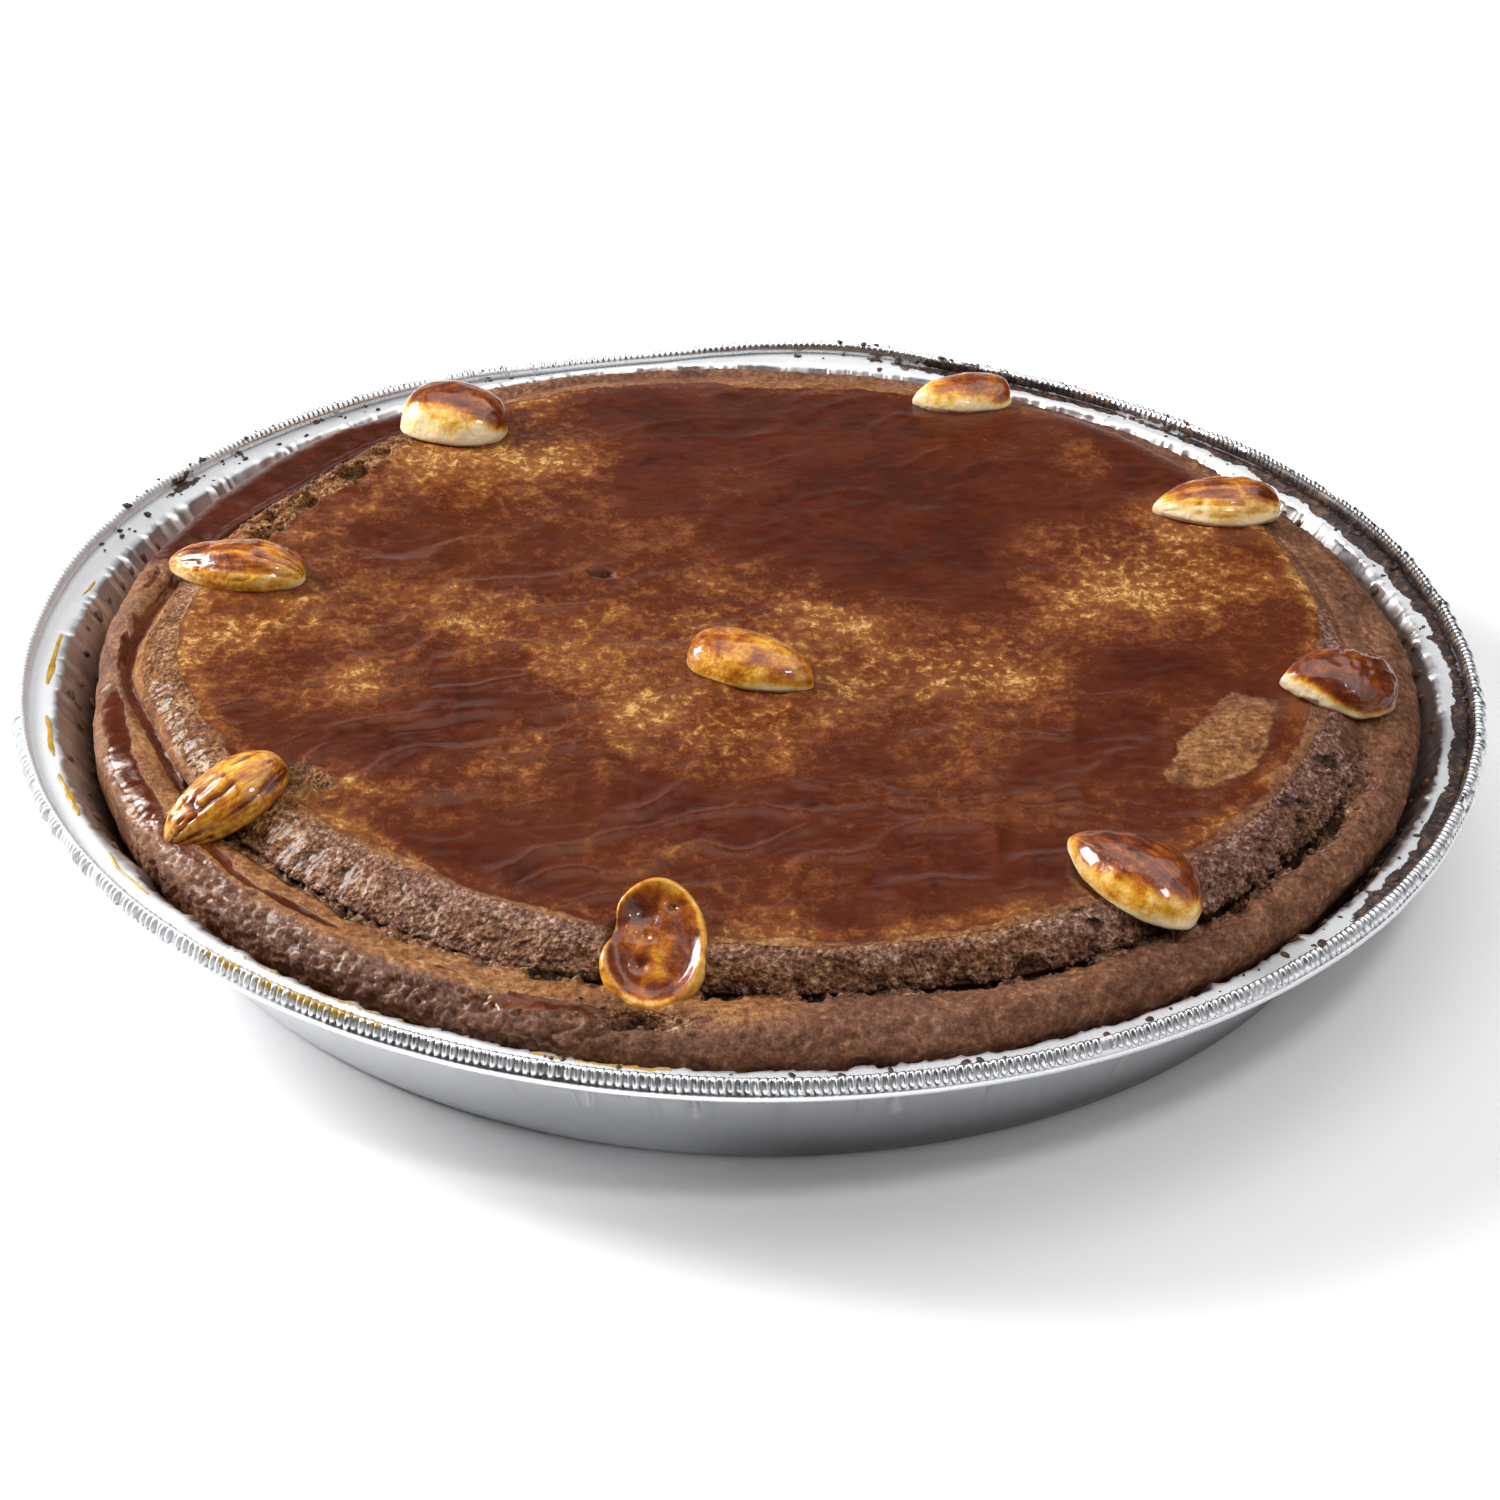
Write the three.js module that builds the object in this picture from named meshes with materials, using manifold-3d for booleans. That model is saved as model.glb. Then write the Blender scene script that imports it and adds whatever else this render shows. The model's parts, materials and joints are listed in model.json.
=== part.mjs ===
// Speculoos tart in its aluminium foil tin. Millimetres, +Z up, the tin's base on z = 0.
// The tin is a pressed foil dish with a flat flange and a rolled bead. In it lie two crusts: the
// lower one fills the dish and rises in a rounded ring, the upper one is a thick glazed lid whose
// torn side stands up out of that ring. Nine almonds are pressed into the lid.
import * as THREE from 'three';
import { mergeVertices } from 'three/addons/utils/BufferGeometryUtils.js';
import Module from 'manifold-3d';

const wasm = await Module();
wasm.setup();

const GAP = 0.32; // kept between solids that touch

// ---- driving dimensions -------------------------------------------------------------------
const tin = {
  rimRadius: 125, // outside of the bead, front to back
  rimBulge: 2.3, // how much farther it reaches left and right: the tin is out of round
  beadWidth: 2.1,
  mouthRadius: 119.2, // inner edge of the flange, front to back
  mouthBulge: 1.2,
  flangeHeight: 26.5,
  beadRise: 2.5, // bead crest above the flange
  skirtDrop: 1.2, // bead's lower edge below the flange
  baseRadius: 107,
  baseShift: 1.2, // the base sits this far to the right of the rim's centre
  foil: 0.5,
  foldDepth: 0.3,
  folds: 42,
};
const crust = {
  segments: 72,
  floor: 1,
  seam: 26.6, // level where the lid lies on the lower crust
  ringHeight: 30,
  ringSwell: 1.7, // how much higher the ring stands at the back left
  lidCentre: 31.7,
};

// Radii and heights of the hand-shaped edges, one for every 30 degrees from +X anticlockwise.
const lidEdgeRadius = [99.5, 102, 103, 100, 101, 96, 101, 97.5, 96.5, 100.5, 102.3, 101.5];
const lidEdgeHeight = [33.5, 33.2, 33.5, 31.6, 32.6, 33.5, 33.4, 33.9, 34.4, 34.5, 34.4, 34];
const lidFootRadius = [107, 107, 107, 105, 105, 99, 108, 102.5, 104.5, 103.5, 108.3, 108.5];
const ringRadius = [116, 115, 113, 112.5, 112.5, 113, 113.2, 115, 117, 117.4, 117.3, 116.8];

// Each almond: where it lies (radius, azimuth), where its tip points, how far its outer end
// dips, its size, and how high its underside is. A hollow one lies with its split face up.
const almonds = [
  { radius: 93.5, azimuth: 129, tip: -20, dip: 0, size: [20.5, 17.5, 9.4], base: 31.2, hollow: 0 },
  { radius: 92.7, azimuth: 173, tip: 166, dip: 3, size: [26, 14.2, 7.3], base: 31.5, hollow: 0 },
  { radius: 102, azimuth: -142.7, tip: -149, dip: 24, size: [22.5, 13.5, 7.5], base: 30.4, hollow: 0 },
  { radius: 98, azimuth: -97.5, tip: -94, dip: 34, size: [21, 16.3, 7.5], base: 31, hollow: 3 },
  { radius: 99.8, azimuth: -54.4, tip: 137, dip: 8, size: [24.3, 15, 8], base: 32.2, hollow: 0 },
  { radius: 101.1, azimuth: -12.1, tip: 188, dip: 12, size: [20.5, 16.8, 8.2], base: 31.2, hollow: 0 },
  { radius: 96.6, azimuth: 25.9, tip: 181, dip: 0, size: [24, 13, 7.5], base: 31.7, hollow: 0 },
  { radius: 98.6, azimuth: 65.2, tip: 188, dip: 0, size: [19.8, 12, 6.3], base: 31.1, hollow: 0 },
  { radius: 17.5, azimuth: -88, tip: -26, dip: 0, size: [22.8, 14, 7.3], base: 30.5, hollow: 0 },
];

// ---- materials ----------------------------------------------------------------------------
const foil = new THREE.MeshStandardMaterial({ color: 0xc9cac9, roughness: 0.28, metalness: 1 });
const dough = new THREE.MeshStandardMaterial({ color: 0x6b4530, roughness: 0.75, metalness: 0 });
const glaze = new THREE.MeshStandardMaterial({ color: 0x6a2f15, roughness: 0.25, metalness: 0 });
const nut = new THREE.MeshStandardMaterial({ color: 0xa8622a, roughness: 0.3, metalness: 0 });

// ---- small helpers ------------------------------------------------------------------------
const radians = THREE.MathUtils.degToRad;
const mix = THREE.MathUtils.lerp;

// Smooth closed curve through values spread evenly round the circle.
function around(values, azimuth) {
  const count = values.length;
  const place = (((azimuth / (2 * Math.PI)) % 1) + 1) % 1 * count;
  const start = Math.floor(place);
  const t = place - start;
  const [a, b, c, d] = [-1, 0, 1, 2].map((step) => values[(start + step + count) % count]);
  return b + 0.5 * t * (c - a + t * (2 * a - 5 * b + 4 * c - d + t * (3 * (b - c) + d - a)));
}

// One smooth bump of the given height, centred on an azimuth and falling away to both sides.
function bump(azimuth, centreDegrees, widthDegrees, height) {
  const turn = azimuth - radians(centreDegrees);
  const apart = Math.atan2(Math.sin(turn), Math.cos(turn)) / radians(widthDegrees);
  return height * Math.exp(-apart * apart);
}

// Closed solid swept round Z. profileAt(azimuth, step) gives [radius, height] points, the first
// and the last on the axis; shiftAt(height) moves each level sideways along X.
function spun(profileAt, segments, shiftAt) {
  const inner = profileAt(0, 0).length - 2;
  const points = [];
  const faces = [];
  for (let step = 0; step < segments; step += 1) {
    const azimuth = (2 * Math.PI * step) / segments;
    for (const [radius, height] of profileAt(azimuth, step).slice(1, -1)) {
      points.push(radius * Math.cos(azimuth) + shiftAt(height), radius * Math.sin(azimuth), height);
    }
  }
  const ends = [profileAt(0, 0)[0][1], profileAt(0, 0)[inner + 1][1]];
  const bottom = points.length / 3;
  ends.forEach((height) => points.push(shiftAt(height), 0, height));
  const top = bottom + 1;
  for (let step = 0; step < segments; step += 1) {
    const here = step * inner;
    const next = ((step + 1) % segments) * inner;
    faces.push(bottom, next, here);
    for (let row = 0; row < inner - 1; row += 1) {
      faces.push(here + row, next + row, next + row + 1);
      faces.push(here + row, next + row + 1, here + row + 1);
    }
    faces.push(top, here + inner - 1, next + inner - 1);
  }
  return indexed(points, faces);
}

function indexed(points, faces) {
  const geometry = new THREE.BufferGeometry();
  geometry.setAttribute('position', new THREE.Float32BufferAttribute(points, 3));
  geometry.setIndex(faces);
  return geometry;
}

function toSolid(geometry) {
  const bare = geometry.clone();
  bare.deleteAttribute('normal');
  bare.deleteAttribute('uv');
  const merged = mergeVertices(bare);
  return new wasm.Manifold(new wasm.Mesh({
    numProp: 3,
    vertProperties: new Float32Array(merged.attributes.position.array),
    triVerts: new Uint32Array(merged.index.array),
  }));
}

function toGeometry(solid) {
  const mesh = solid.getMesh();
  return indexed(Array.from(mesh.vertProperties), Array.from(mesh.triVerts));
}

// The crust less the pockets that the almonds press into it, without any loose shaving.
function withPockets(geometry, pockets) {
  const cut = pockets.reduce((solid, pocket) => solid.subtract(toSolid(pocket)), toSolid(geometry));
  const bodies = cut.decompose().sort((one, other) => other.volume() - one.volume());
  return toGeometry(bodies[0]);
}

function named(name, geometry, material) {
  geometry.computeVertexNormals();
  const mesh = new THREE.Mesh(geometry, material);
  mesh.name = name;
  return mesh;
}

// ---- foil tin -----------------------------------------------------------------------------
const rimRadiusAt = (azimuth) => tin.rimRadius + tin.rimBulge * Math.cos(azimuth) ** 2;
const mouthRadiusAt = (azimuth) => tin.mouthRadius + tin.mouthBulge * Math.cos(azimuth) ** 2;

// The bead is bent out of level: down left of the back, up beside that and at the two back corners.
const rimLiftAt = (azimuth) => bump(azimuth, 106, 12, -2)
  + bump(azimuth, 82, 10, 1.4)
  + bump(azimuth, 165, 18, 1.6)
  + bump(azimuth, 20, 18, 1.1);

const leanAt = (height) => tin.baseShift * (1 - Math.min(height / tin.flangeHeight, 1));

// Inside radius of the tin's wall at a height.
function wallRadiusAt(height, azimuth) {
  return mix(tin.baseRadius, mouthRadiusAt(azimuth), height / tin.flangeHeight) - tin.foil;
}

function tinProfile(azimuth, step) {
  const rim = rimRadiusAt(azimuth);
  const lift = rimLiftAt(azimuth);
  const beadInner = rim - tin.beadWidth;
  const mouth = mouthRadiusAt(azimuth);
  const flange = tin.flangeHeight;
  const crest = flange + tin.beadRise + lift;
  const skirt = flange - tin.skirtDrop + lift;
  const fold = step % 2 ? tin.foldDepth : 0;
  const thick = tin.foil;
  const wall = (height, inward) => [wallRadiusAt(height, azimuth) + thick - fold - inward, height];
  return [
    [0, 0],
    [tin.baseRadius - 1.4, 0],
    wall(1.3, 0),
    wall(flange * 0.55, 0),
    [mouth - 0.1, flange - 1.7],
    [mouth + 0.8, flange - thick],
    [beadInner, flange - thick + lift * 0.8],
    [beadInner + 0.5, skirt],
    [rim - 0.1, skirt],
    [rim, mix(skirt, crest, 0.7)],
    [rim - 0.6, crest],
    [beadInner + 0.6, crest],
    [beadInner, mix(flange, crest, 0.5)],
    [beadInner, flange + lift * 0.8],
    [mouth + 0.5, flange],
    [mouth - thick, flange - 1.1],
    wall(flange * 0.55, thick),
    wall(1.8, thick),
    [tin.baseRadius - 1.9, thick],
    [0, thick],
  ];
}

const foilTin = named('foil_tin', spun(tinProfile, tin.folds * 2, leanAt), foil);

// ---- crusts -------------------------------------------------------------------------------
const ringHeightAt = (azimuth) => crust.ringHeight + bump(azimuth, 148, 28, crust.ringSwell);

// The lower crust hugs the wall low down and has shrunk away from it higher up.
function lowerCrustProfile(azimuth) {
  const ring = around(ringRadius, azimuth);
  const foot = around(lidFootRadius, azimuth);
  const crest = ring - 3.6;
  const height = ringHeightAt(azimuth);
  const clear = GAP + tin.foldDepth;
  const hug = (height) => Math.min(wallRadiusAt(height, azimuth) - clear, ring - 0.2);
  return [
    [0, crust.floor],
    [tin.baseRadius - 4, crust.floor],
    [hug(3) - 0.6, 3],
    [hug(10), 10],
    [hug(17) - 0.4, 17],
    [Math.min(hug(23), ring - 0.6), 23],
    [ring, 26.4],
    [ring - 0.9, height - 1.1],
    [crest, height],
    [mix(foot, crest, 0.45), height - 0.7],
    [foot + 0.5, height - 1.6],
    [foot - 2.4, crust.seam + 0.2],
    [foot - 6, crust.seam],
    [0, crust.seam],
  ];
}

// Height of the lid's glazed top: lowest in the middle, rising to its uneven edge.
function lidTopAt(radius, azimuth) {
  const share = radius / around(lidEdgeRadius, azimuth);
  return mix(crust.lidCentre, around(lidEdgeHeight, azimuth), share * share);
}

function upperCrustProfile(azimuth) {
  const edge = around(lidEdgeRadius, azimuth);
  const foot = around(lidFootRadius, azimuth);
  const height = around(lidEdgeHeight, azimuth);
  const seam = crust.seam + GAP;
  const top = [0.97, 0.85, 0.65, 0.4].map((share) => [edge * share, lidTopAt(edge * share, azimuth)]);
  return [
    [0, seam],
    [foot - 5, seam],
    [foot - 3.2, seam + 0.1],
    [foot - 0.9, crust.ringHeight - 1],
    [mix(foot, edge, 0.45), mix(crust.ringHeight, height, 0.45)],
    [mix(foot, edge, 0.85), height - 1.1],
    [edge, height - 0.2],
    ...top,
    [0, crust.lidCentre],
  ];
}

// ---- almonds ------------------------------------------------------------------------------
// Drop-shaped: blunt at -X, pointed at +X, flat below, domed or dished above.
function almondGeometry([length, width, height], hollow, extra) {
  const stations = 9;
  const spokes = 12;
  const rim = 2.2;
  const points = [];
  const faces = [];
  for (let station = 1; station < stations; station += 1) {
    const along = (1 - Math.cos((Math.PI * station) / stations)) / 2;
    const swell = Math.sin(Math.PI * along ** 0.85);
    const half = (width / 2 + extra) * swell ** mix(0.5, 0.9, along);
    const rise = (height - rim + extra) * swell ** 0.6;
    for (let spoke = 0; spoke < spokes; spoke += 1) {
      const turn = (2 * Math.PI * spoke) / spokes;
      const up = Math.sin(turn);
      const dish = up > 0.6 ? hollow * swell * up : 0;
      const z = up > 0 ? rim + rise * up - dish : rim + (rim + extra) * up * swell ** 0.4;
      points.push((along - 0.5) * (length + 2 * extra), half * Math.cos(turn), z);
    }
  }
  const blunt = points.length / 3;
  points.push(-length / 2 - extra, 0, rim, length / 2 + extra, 0, rim);
  const tip = blunt + 1;
  const last = (stations - 2) * spokes;
  for (let spoke = 0; spoke < spokes; spoke += 1) {
    const next = (spoke + 1) % spokes;
    faces.push(blunt, next, spoke);
    faces.push(tip, last + spoke, last + next);
    for (let row = 0; row < last; row += spokes) {
      faces.push(row + spoke, row + next, row + spokes + next);
      faces.push(row + spoke, row + spokes + next, row + spokes + spoke);
    }
  }
  return indexed(points, faces);
}

// Stands a nut, or the pocket round it, in its place on the lid.
function seat(object, { radius, azimuth, tip, dip, base }) {
  const place = new THREE.Group();
  place.position.set(radius * Math.cos(radians(azimuth)), radius * Math.sin(radians(azimuth)), base);
  place.rotation.z = radians(azimuth);
  object.rotation.set(0, radians(dip), radians(tip - azimuth), 'YZX');
  place.add(object);
  place.updateMatrixWorld(true);
  return place;
}

function pocketOf(almond) {
  const shape = new THREE.Mesh(almondGeometry(almond.size, 0, GAP * 1.4));
  seat(shape, almond);
  return shape.geometry.applyMatrix4(shape.matrixWorld);
}

const pockets = almonds.map(pocketOf);
const upright = () => 0;
const lowerSolid = withPockets(spun(lowerCrustProfile, crust.segments, leanAt), pockets);
const upperSolid = withPockets(spun(upperCrustProfile, crust.segments, upright), pockets);

const tart = new THREE.Group();
tart.add(foilTin);
tart.add(named('lower_crust', lowerSolid, dough));
tart.add(named('upper_crust', upperSolid, glaze));
almonds.forEach((almond, index) => {
  const shape = almondGeometry(almond.size, almond.hollow, 0);
  tart.add(seat(named(`almond_${index + 1}`, shape, nut), almond));
});

export default tart;
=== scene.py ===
"""A speculoos tart in its foil tin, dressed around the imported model.

Sizes inside the making functions are in millimetres; meshes are stored in metres. The tin's own
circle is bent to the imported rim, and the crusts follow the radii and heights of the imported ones.
"""

import itertools
import json
import math

import bpy
import numpy as np
from mathutils import Matrix, Vector


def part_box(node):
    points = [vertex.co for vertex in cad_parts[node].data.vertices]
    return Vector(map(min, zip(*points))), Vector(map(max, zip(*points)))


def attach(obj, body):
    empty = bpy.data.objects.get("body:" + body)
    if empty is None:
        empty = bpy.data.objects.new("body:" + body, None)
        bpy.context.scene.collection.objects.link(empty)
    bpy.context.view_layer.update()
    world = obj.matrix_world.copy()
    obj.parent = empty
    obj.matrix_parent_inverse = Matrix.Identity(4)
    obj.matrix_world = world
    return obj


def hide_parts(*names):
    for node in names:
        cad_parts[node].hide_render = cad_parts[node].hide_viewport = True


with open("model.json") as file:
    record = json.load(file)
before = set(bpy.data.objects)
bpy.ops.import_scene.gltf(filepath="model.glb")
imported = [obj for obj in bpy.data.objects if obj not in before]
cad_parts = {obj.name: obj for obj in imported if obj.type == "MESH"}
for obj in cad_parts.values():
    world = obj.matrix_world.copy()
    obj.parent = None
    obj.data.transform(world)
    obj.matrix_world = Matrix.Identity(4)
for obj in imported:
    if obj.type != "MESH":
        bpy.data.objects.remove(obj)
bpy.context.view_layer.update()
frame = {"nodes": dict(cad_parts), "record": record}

MM = 0.001
TURN = 2 * math.pi
FLANGE_HEIGHT = 26.5
FLANGE_RADIUS = 125.0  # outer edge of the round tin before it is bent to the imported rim
MOUTH_RADIUS = 119.2
BASE_RADIUS = 107.0
BEAD_CREST = FLANGE_HEIGHT + 2.5
BASE_CENTRE = Vector(frame["record"]["mounts"][0]["pos_m"])
NUTS = [name for name in sorted(frame["nodes"]) if name.startswith("almond")]


# ---- camera ----------------------------------------
CAMERA_DISTANCE = 0.52
CAMERA_ELEVATION = math.radians(32.79)
CAMERA_ROLL = math.radians(1.05)
CAMERA_LENS = 68.7
AIM_OFFSET = Vector((-0.0009, 0, 0.0049))


def add_camera():
    lens = bpy.data.cameras.new("camera")
    lens.lens = CAMERA_LENS
    lens.sensor_width = 36
    lens.clip_start = 0.01
    camera = bpy.data.objects.new("camera", lens)
    bpy.context.scene.collection.objects.link(camera)
    back = Vector((0, -math.cos(CAMERA_ELEVATION), math.sin(CAMERA_ELEVATION)))
    place = BASE_CENTRE + back * CAMERA_DISTANCE
    turned = (BASE_CENTRE + AIM_OFFSET - place).to_track_quat("-Z", "Y").to_matrix()
    turned = turned @ Matrix.Rotation(CAMERA_ROLL, 3, "Z")
    camera.matrix_world = Matrix.Translation(place) @ turned.to_4x4()
    bpy.context.scene.camera = camera


# ---- reading shapes from the frame ----------------------------------------
def vertex_points(mesh):
    """A mesh's vertices, in millimetres."""
    flat = np.empty(len(mesh.vertices) * 3)
    mesh.vertices.foreach_get("co", flat)
    return flat.reshape(-1, 3) / MM


def node_points(node):
    return vertex_points(frame["nodes"][node].data)


def curve_between(before, start, end, after, share):
    """A smooth curve from start to end, shaped by the values before and after them."""
    bend = 2 * before - 5 * start + 4 * end - after + share * (3 * (start - end) + after - before)
    return start + 0.5 * share * (end - before + share * bend)


def smooth_round(values):
    """A smooth closed curve through values spread evenly round the circle."""
    values = np.asarray(values, float)

    def at(azimuth):
        place = np.mod(np.asarray(azimuth) / TURN, 1.0) * len(values)
        start = place.astype(int)
        near = (values[(start + step) % len(values)] for step in (-1, 0, 1, 2))
        return curve_between(*near, place - start)

    return at


def apart(azimuth, degrees):
    """How many degrees each azimuth is away from the given one, from -180 to 180."""
    turned = np.asarray(azimuth) - math.radians(degrees)
    return np.degrees(np.arctan2(np.sin(turned), np.cos(turned)))


def measured(node, pick, skip=()):
    """What pick(radius, height) says of a node's points, every 10 degrees and smooth between.

    Azimuths within 9 degrees of those in skip are bridged, because nuts have pockets there.
    """
    points = node_points(node)
    azimuth = np.arctan2(points[:, 1], points[:, 0])
    radius = np.hypot(points[:, 0], points[:, 1])
    places, values = [], []
    for degrees in range(0, 360, 10):
        near = np.abs(apart(azimuth, degrees)) < 2.5
        nut_near = any(abs(float(apart(math.radians(degrees), nut))) < 9 for nut in skip)
        if near.any() and not nut_near:
            places.append(degrees)
            values.append(pick(radius[near], points[near, 2]))
    return smooth_round(np.interp(np.arange(0, 360, 10), places, values, period=360))


def nut_azimuths():
    """Azimuths in degrees of the nuts that lie near the lid's edge."""
    found = []
    for nut in NUTS:
        low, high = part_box(nut)
        middle = (low + high) / 2
        if math.hypot(middle.x, middle.y) > 0.08:
            found.append(math.degrees(math.atan2(middle.y, middle.x)))
    return found


EDGE_NUTS = nut_azimuths()
rim_radius = measured("foil_tin", lambda radius, height: radius.max())
rim_crest = measured("foil_tin", lambda radius, height: height.max())
mouth_radius = measured(
    "foil_tin", lambda radius, height: radius[height > FLANGE_HEIGHT - 0.2].min() - 0.5
)
lid_foot = measured("upper_crust", lambda radius, height: radius.max() + 0.9, EDGE_NUTS)
lid_height = measured(
    "upper_crust", lambda radius, height: height[radius > 88].max() + 0.1, EDGE_NUTS
)
lid_edge = measured(
    "upper_crust",
    lambda radius, height: radius[height > height[radius > 88].max() - 0.25].max(),
    EDGE_NUTS,
)
ring_radius = measured("lower_crust", lambda radius, height: radius.max(), EDGE_NUTS)
ring_height = measured("lower_crust", lambda radius, height: height.max(), EDGE_NUTS)
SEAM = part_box("upper_crust")[0].z / MM
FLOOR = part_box("lower_crust")[0].z / MM
LID_CENTRE = 31.7  # height of the lid's middle
LID_SIDE_FOOT = 29.2  # where the lid's side comes out of the ring
UNDER_LID = SEAM - 0.35  # the ring's flat top, hidden below the lid


# ---- noise ----------------------------------------
def hashed(cells, seed):
    """A repeatable number from 0 to 1 for each whole-numbered cell."""
    mixed = cells[:, 0] * 73856093 ^ cells[:, 1] * 19349663 ^ cells[:, 2] * 83492791
    mixed = (mixed ^ (seed * 668265263)) & 0x7FFFFFFF
    mixed = (mixed ^ (mixed >> 15)) * 0x2C1B3C6D & 0x7FFFFFFF
    mixed = (mixed ^ (mixed >> 12)) * 0x297A2D39 & 0x7FFFFFFF
    mixed = mixed ^ (mixed >> 15)
    return mixed / 0x7FFFFFFF


def soft_noise(points, size, seed):
    """Smooth noise from -1 to 1 whose bumps are about size millimetres wide."""
    scaled = points / size
    cell = np.floor(scaled).astype(np.int64)
    part = scaled - cell
    fade = part**3 * (part * (part * 6 - 15) + 10)
    total = np.zeros(len(points))
    for corner in itertools.product((0, 1), repeat=3):
        weight = np.prod(np.where(corner, fade, 1 - fade), axis=1)
        total += weight * hashed(cell + np.array(corner), seed)
    return total * 2 - 1


def rough_noise(points, size, seed, octaves=4):
    """Several layers of soft noise, each half as wide and half as strong as the last."""
    total = np.zeros(len(points))
    for octave in range(octaves):
        total += soft_noise(points, size / 2**octave, seed + octave) / 2**octave
    return total / 1.6


def grain_noise(points, size, seed):
    """Rounded grains: 1 in the middle of each, falling to 0 in the gaps between them."""
    scaled = points / size
    cell = np.floor(scaled).astype(np.int64)
    nearest = np.full(len(points), 9.0)
    for step in itertools.product((-1, 0, 1), repeat=3):
        there = cell + np.array(step)
        spot = there + np.stack([hashed(there, seed + axis) for axis in range(3)], axis=1)
        nearest = np.minimum(nearest, np.linalg.norm(spot - scaled, axis=1))
    return np.clip(1 - nearest, 0, 1)


def ease(values, low, high):
    """0 below low, 1 above high and smooth between."""
    share = np.clip((values - low) / (high - low), 0, 1)
    return share * share * (3 - 2 * share)


def window(azimuth, centre, half_width, fade):
    """1 within half_width degrees of centre, falling to 0 over the next fade degrees."""
    return 1 - ease(np.abs(apart(azimuth, centre)), half_width, half_width + fade)


def bell(offset, width):
    """1 where offset is 0, fading to nearly nothing at twice the width."""
    return np.exp(-((offset / width) ** 2))


# ---- meshes ----------------------------------------
def mesh_from(name, points, faces):
    """A smooth mesh in metres from points in millimetres and lists of corner numbers."""
    mesh = bpy.data.meshes.new(name)
    mesh.from_pydata((points * MM).tolist(), [], faces)
    mesh.polygons.foreach_set("use_smooth", [True] * len(mesh.polygons))
    mesh.update()
    return mesh


def add_piece(name, mesh, material, slot, *nodes):
    """Links a finished mesh as a piece of the object and hides the imported parts it stands for."""
    mesh.materials.clear()
    mesh.materials.append(material)
    piece = bpy.data.objects.new(name, mesh)
    bpy.context.scene.collection.objects.link(piece)
    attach(piece, "root")
    if nodes:
        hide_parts(*nodes)
    return piece


def store(mesh, **values):
    """Keeps one number for each vertex under each name, for materials and node trees to read."""
    for name, numbers in values.items():
        attribute = mesh.attributes.new(name, "FLOAT", "POINT")
        attribute.data.foreach_set("value", np.asarray(numbers, np.float32))


def joined(low_start, low_count, high_start, high_count):
    """Faces between two rings of points. One ring may have twice the points of the other."""
    if low_count == high_count:
        here = np.arange(low_count)
        after = (here + 1) % low_count
        quads = [low_start + here, low_start + after, high_start + after, high_start + here]
        return np.stack(quads, axis=1).tolist()
    few = min(low_count, high_count)
    here = np.arange(few)
    after = (here + 1) % few
    if low_count > high_count:
        first, middle = low_start + 2 * here, low_start + 2 * here + 1
        last = low_start + (2 * here + 2) % low_count
        one, two = high_start + here, high_start + after
        fans = [(first, middle, one), (middle, two, one), (middle, last, two)]
    else:
        first, middle = high_start + 2 * here, high_start + 2 * here + 1
        last = high_start + (2 * here + 2) % high_count
        one, two = low_start + here, low_start + after
        fans = [(one, middle, first), (one, two, middle), (two, last, middle)]
    return np.concatenate([np.stack(fan, axis=1) for fan in fans]).tolist()


def turned_skin(rows):
    """Points and faces of one closed skin through rings that run from its underside to its top.

    The first and the last row are a single point each.
    """
    starts = np.cumsum([0] + [len(row) for row in rows])
    faces = []
    for index in range(len(rows) - 1):
        low, high = len(rows[index]), len(rows[index + 1])
        if low == 1:
            here = np.arange(high)
            fan = [np.full(high, starts[index]), starts[index + 1] + (here + 1) % high]
            faces += np.stack(fan + [starts[index + 1] + here], axis=1).tolist()
        elif high == 1:
            here = np.arange(low)
            fan = [starts[index] + here, starts[index] + (here + 1) % low]
            faces += np.stack(fan + [np.full(low, starts[index + 1])], axis=1).tolist()
        else:
            faces += joined(starts[index], low, starts[index + 1], high)
    return np.concatenate(rows), faces


def polar(points):
    return np.hypot(points[:, 0], points[:, 1]), np.arctan2(points[:, 1], points[:, 0])


def from_polar(radius, azimuth, height):
    return np.stack([radius * np.cos(azimuth), radius * np.sin(azimuth), height], axis=1)


def even_turn(count):
    return np.arange(count) * TURN / count


def everywhere(given, azimuth):
    """One value for each azimuth, from a number or from a function of azimuth."""
    return (given(azimuth) if callable(given) else given) * np.ones(len(azimuth))


def moved_by(curve, amount):
    return lambda azimuth: curve(azimuth) + amount


def part_way(start, end, share):
    return lambda azimuth: start(azimuth) + share * (end(azimuth) - start(azimuth))


def ring_row(count, radius, height):
    """A ring of points whose radius and height are numbers or functions of azimuth."""
    azimuth = even_turn(count)
    return from_polar(everywhere(radius, azimuth), azimuth, everywhere(height, azimuth))


def along_profile(controls, count, places):
    """Rings through a profile of (radius, height) pairs, smooth between its points."""
    azimuth = even_turn(count)
    sides = [np.stack([everywhere(given, azimuth) for given in side]) for side in zip(*controls)]
    rows = []
    for place in places:
        start = min(int(place), len(controls) - 2)
        picks = [max(start - 1, 0), start, start + 1, min(start + 2, len(controls) - 1)]
        radius, height = (curve_between(*side[picks], place - start) for side in sides)
        rows.append(from_polar(radius, azimuth, height))
    return rows


def push_out(points, outward, upward):
    """Moves points away from the axis and up, in millimetres."""
    _, azimuth = polar(points)
    moved = points.copy()
    moved[:, 0] += outward * np.cos(azimuth)
    moved[:, 1] += outward * np.sin(azimuth)
    moved[:, 2] += upward
    return moved


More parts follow.
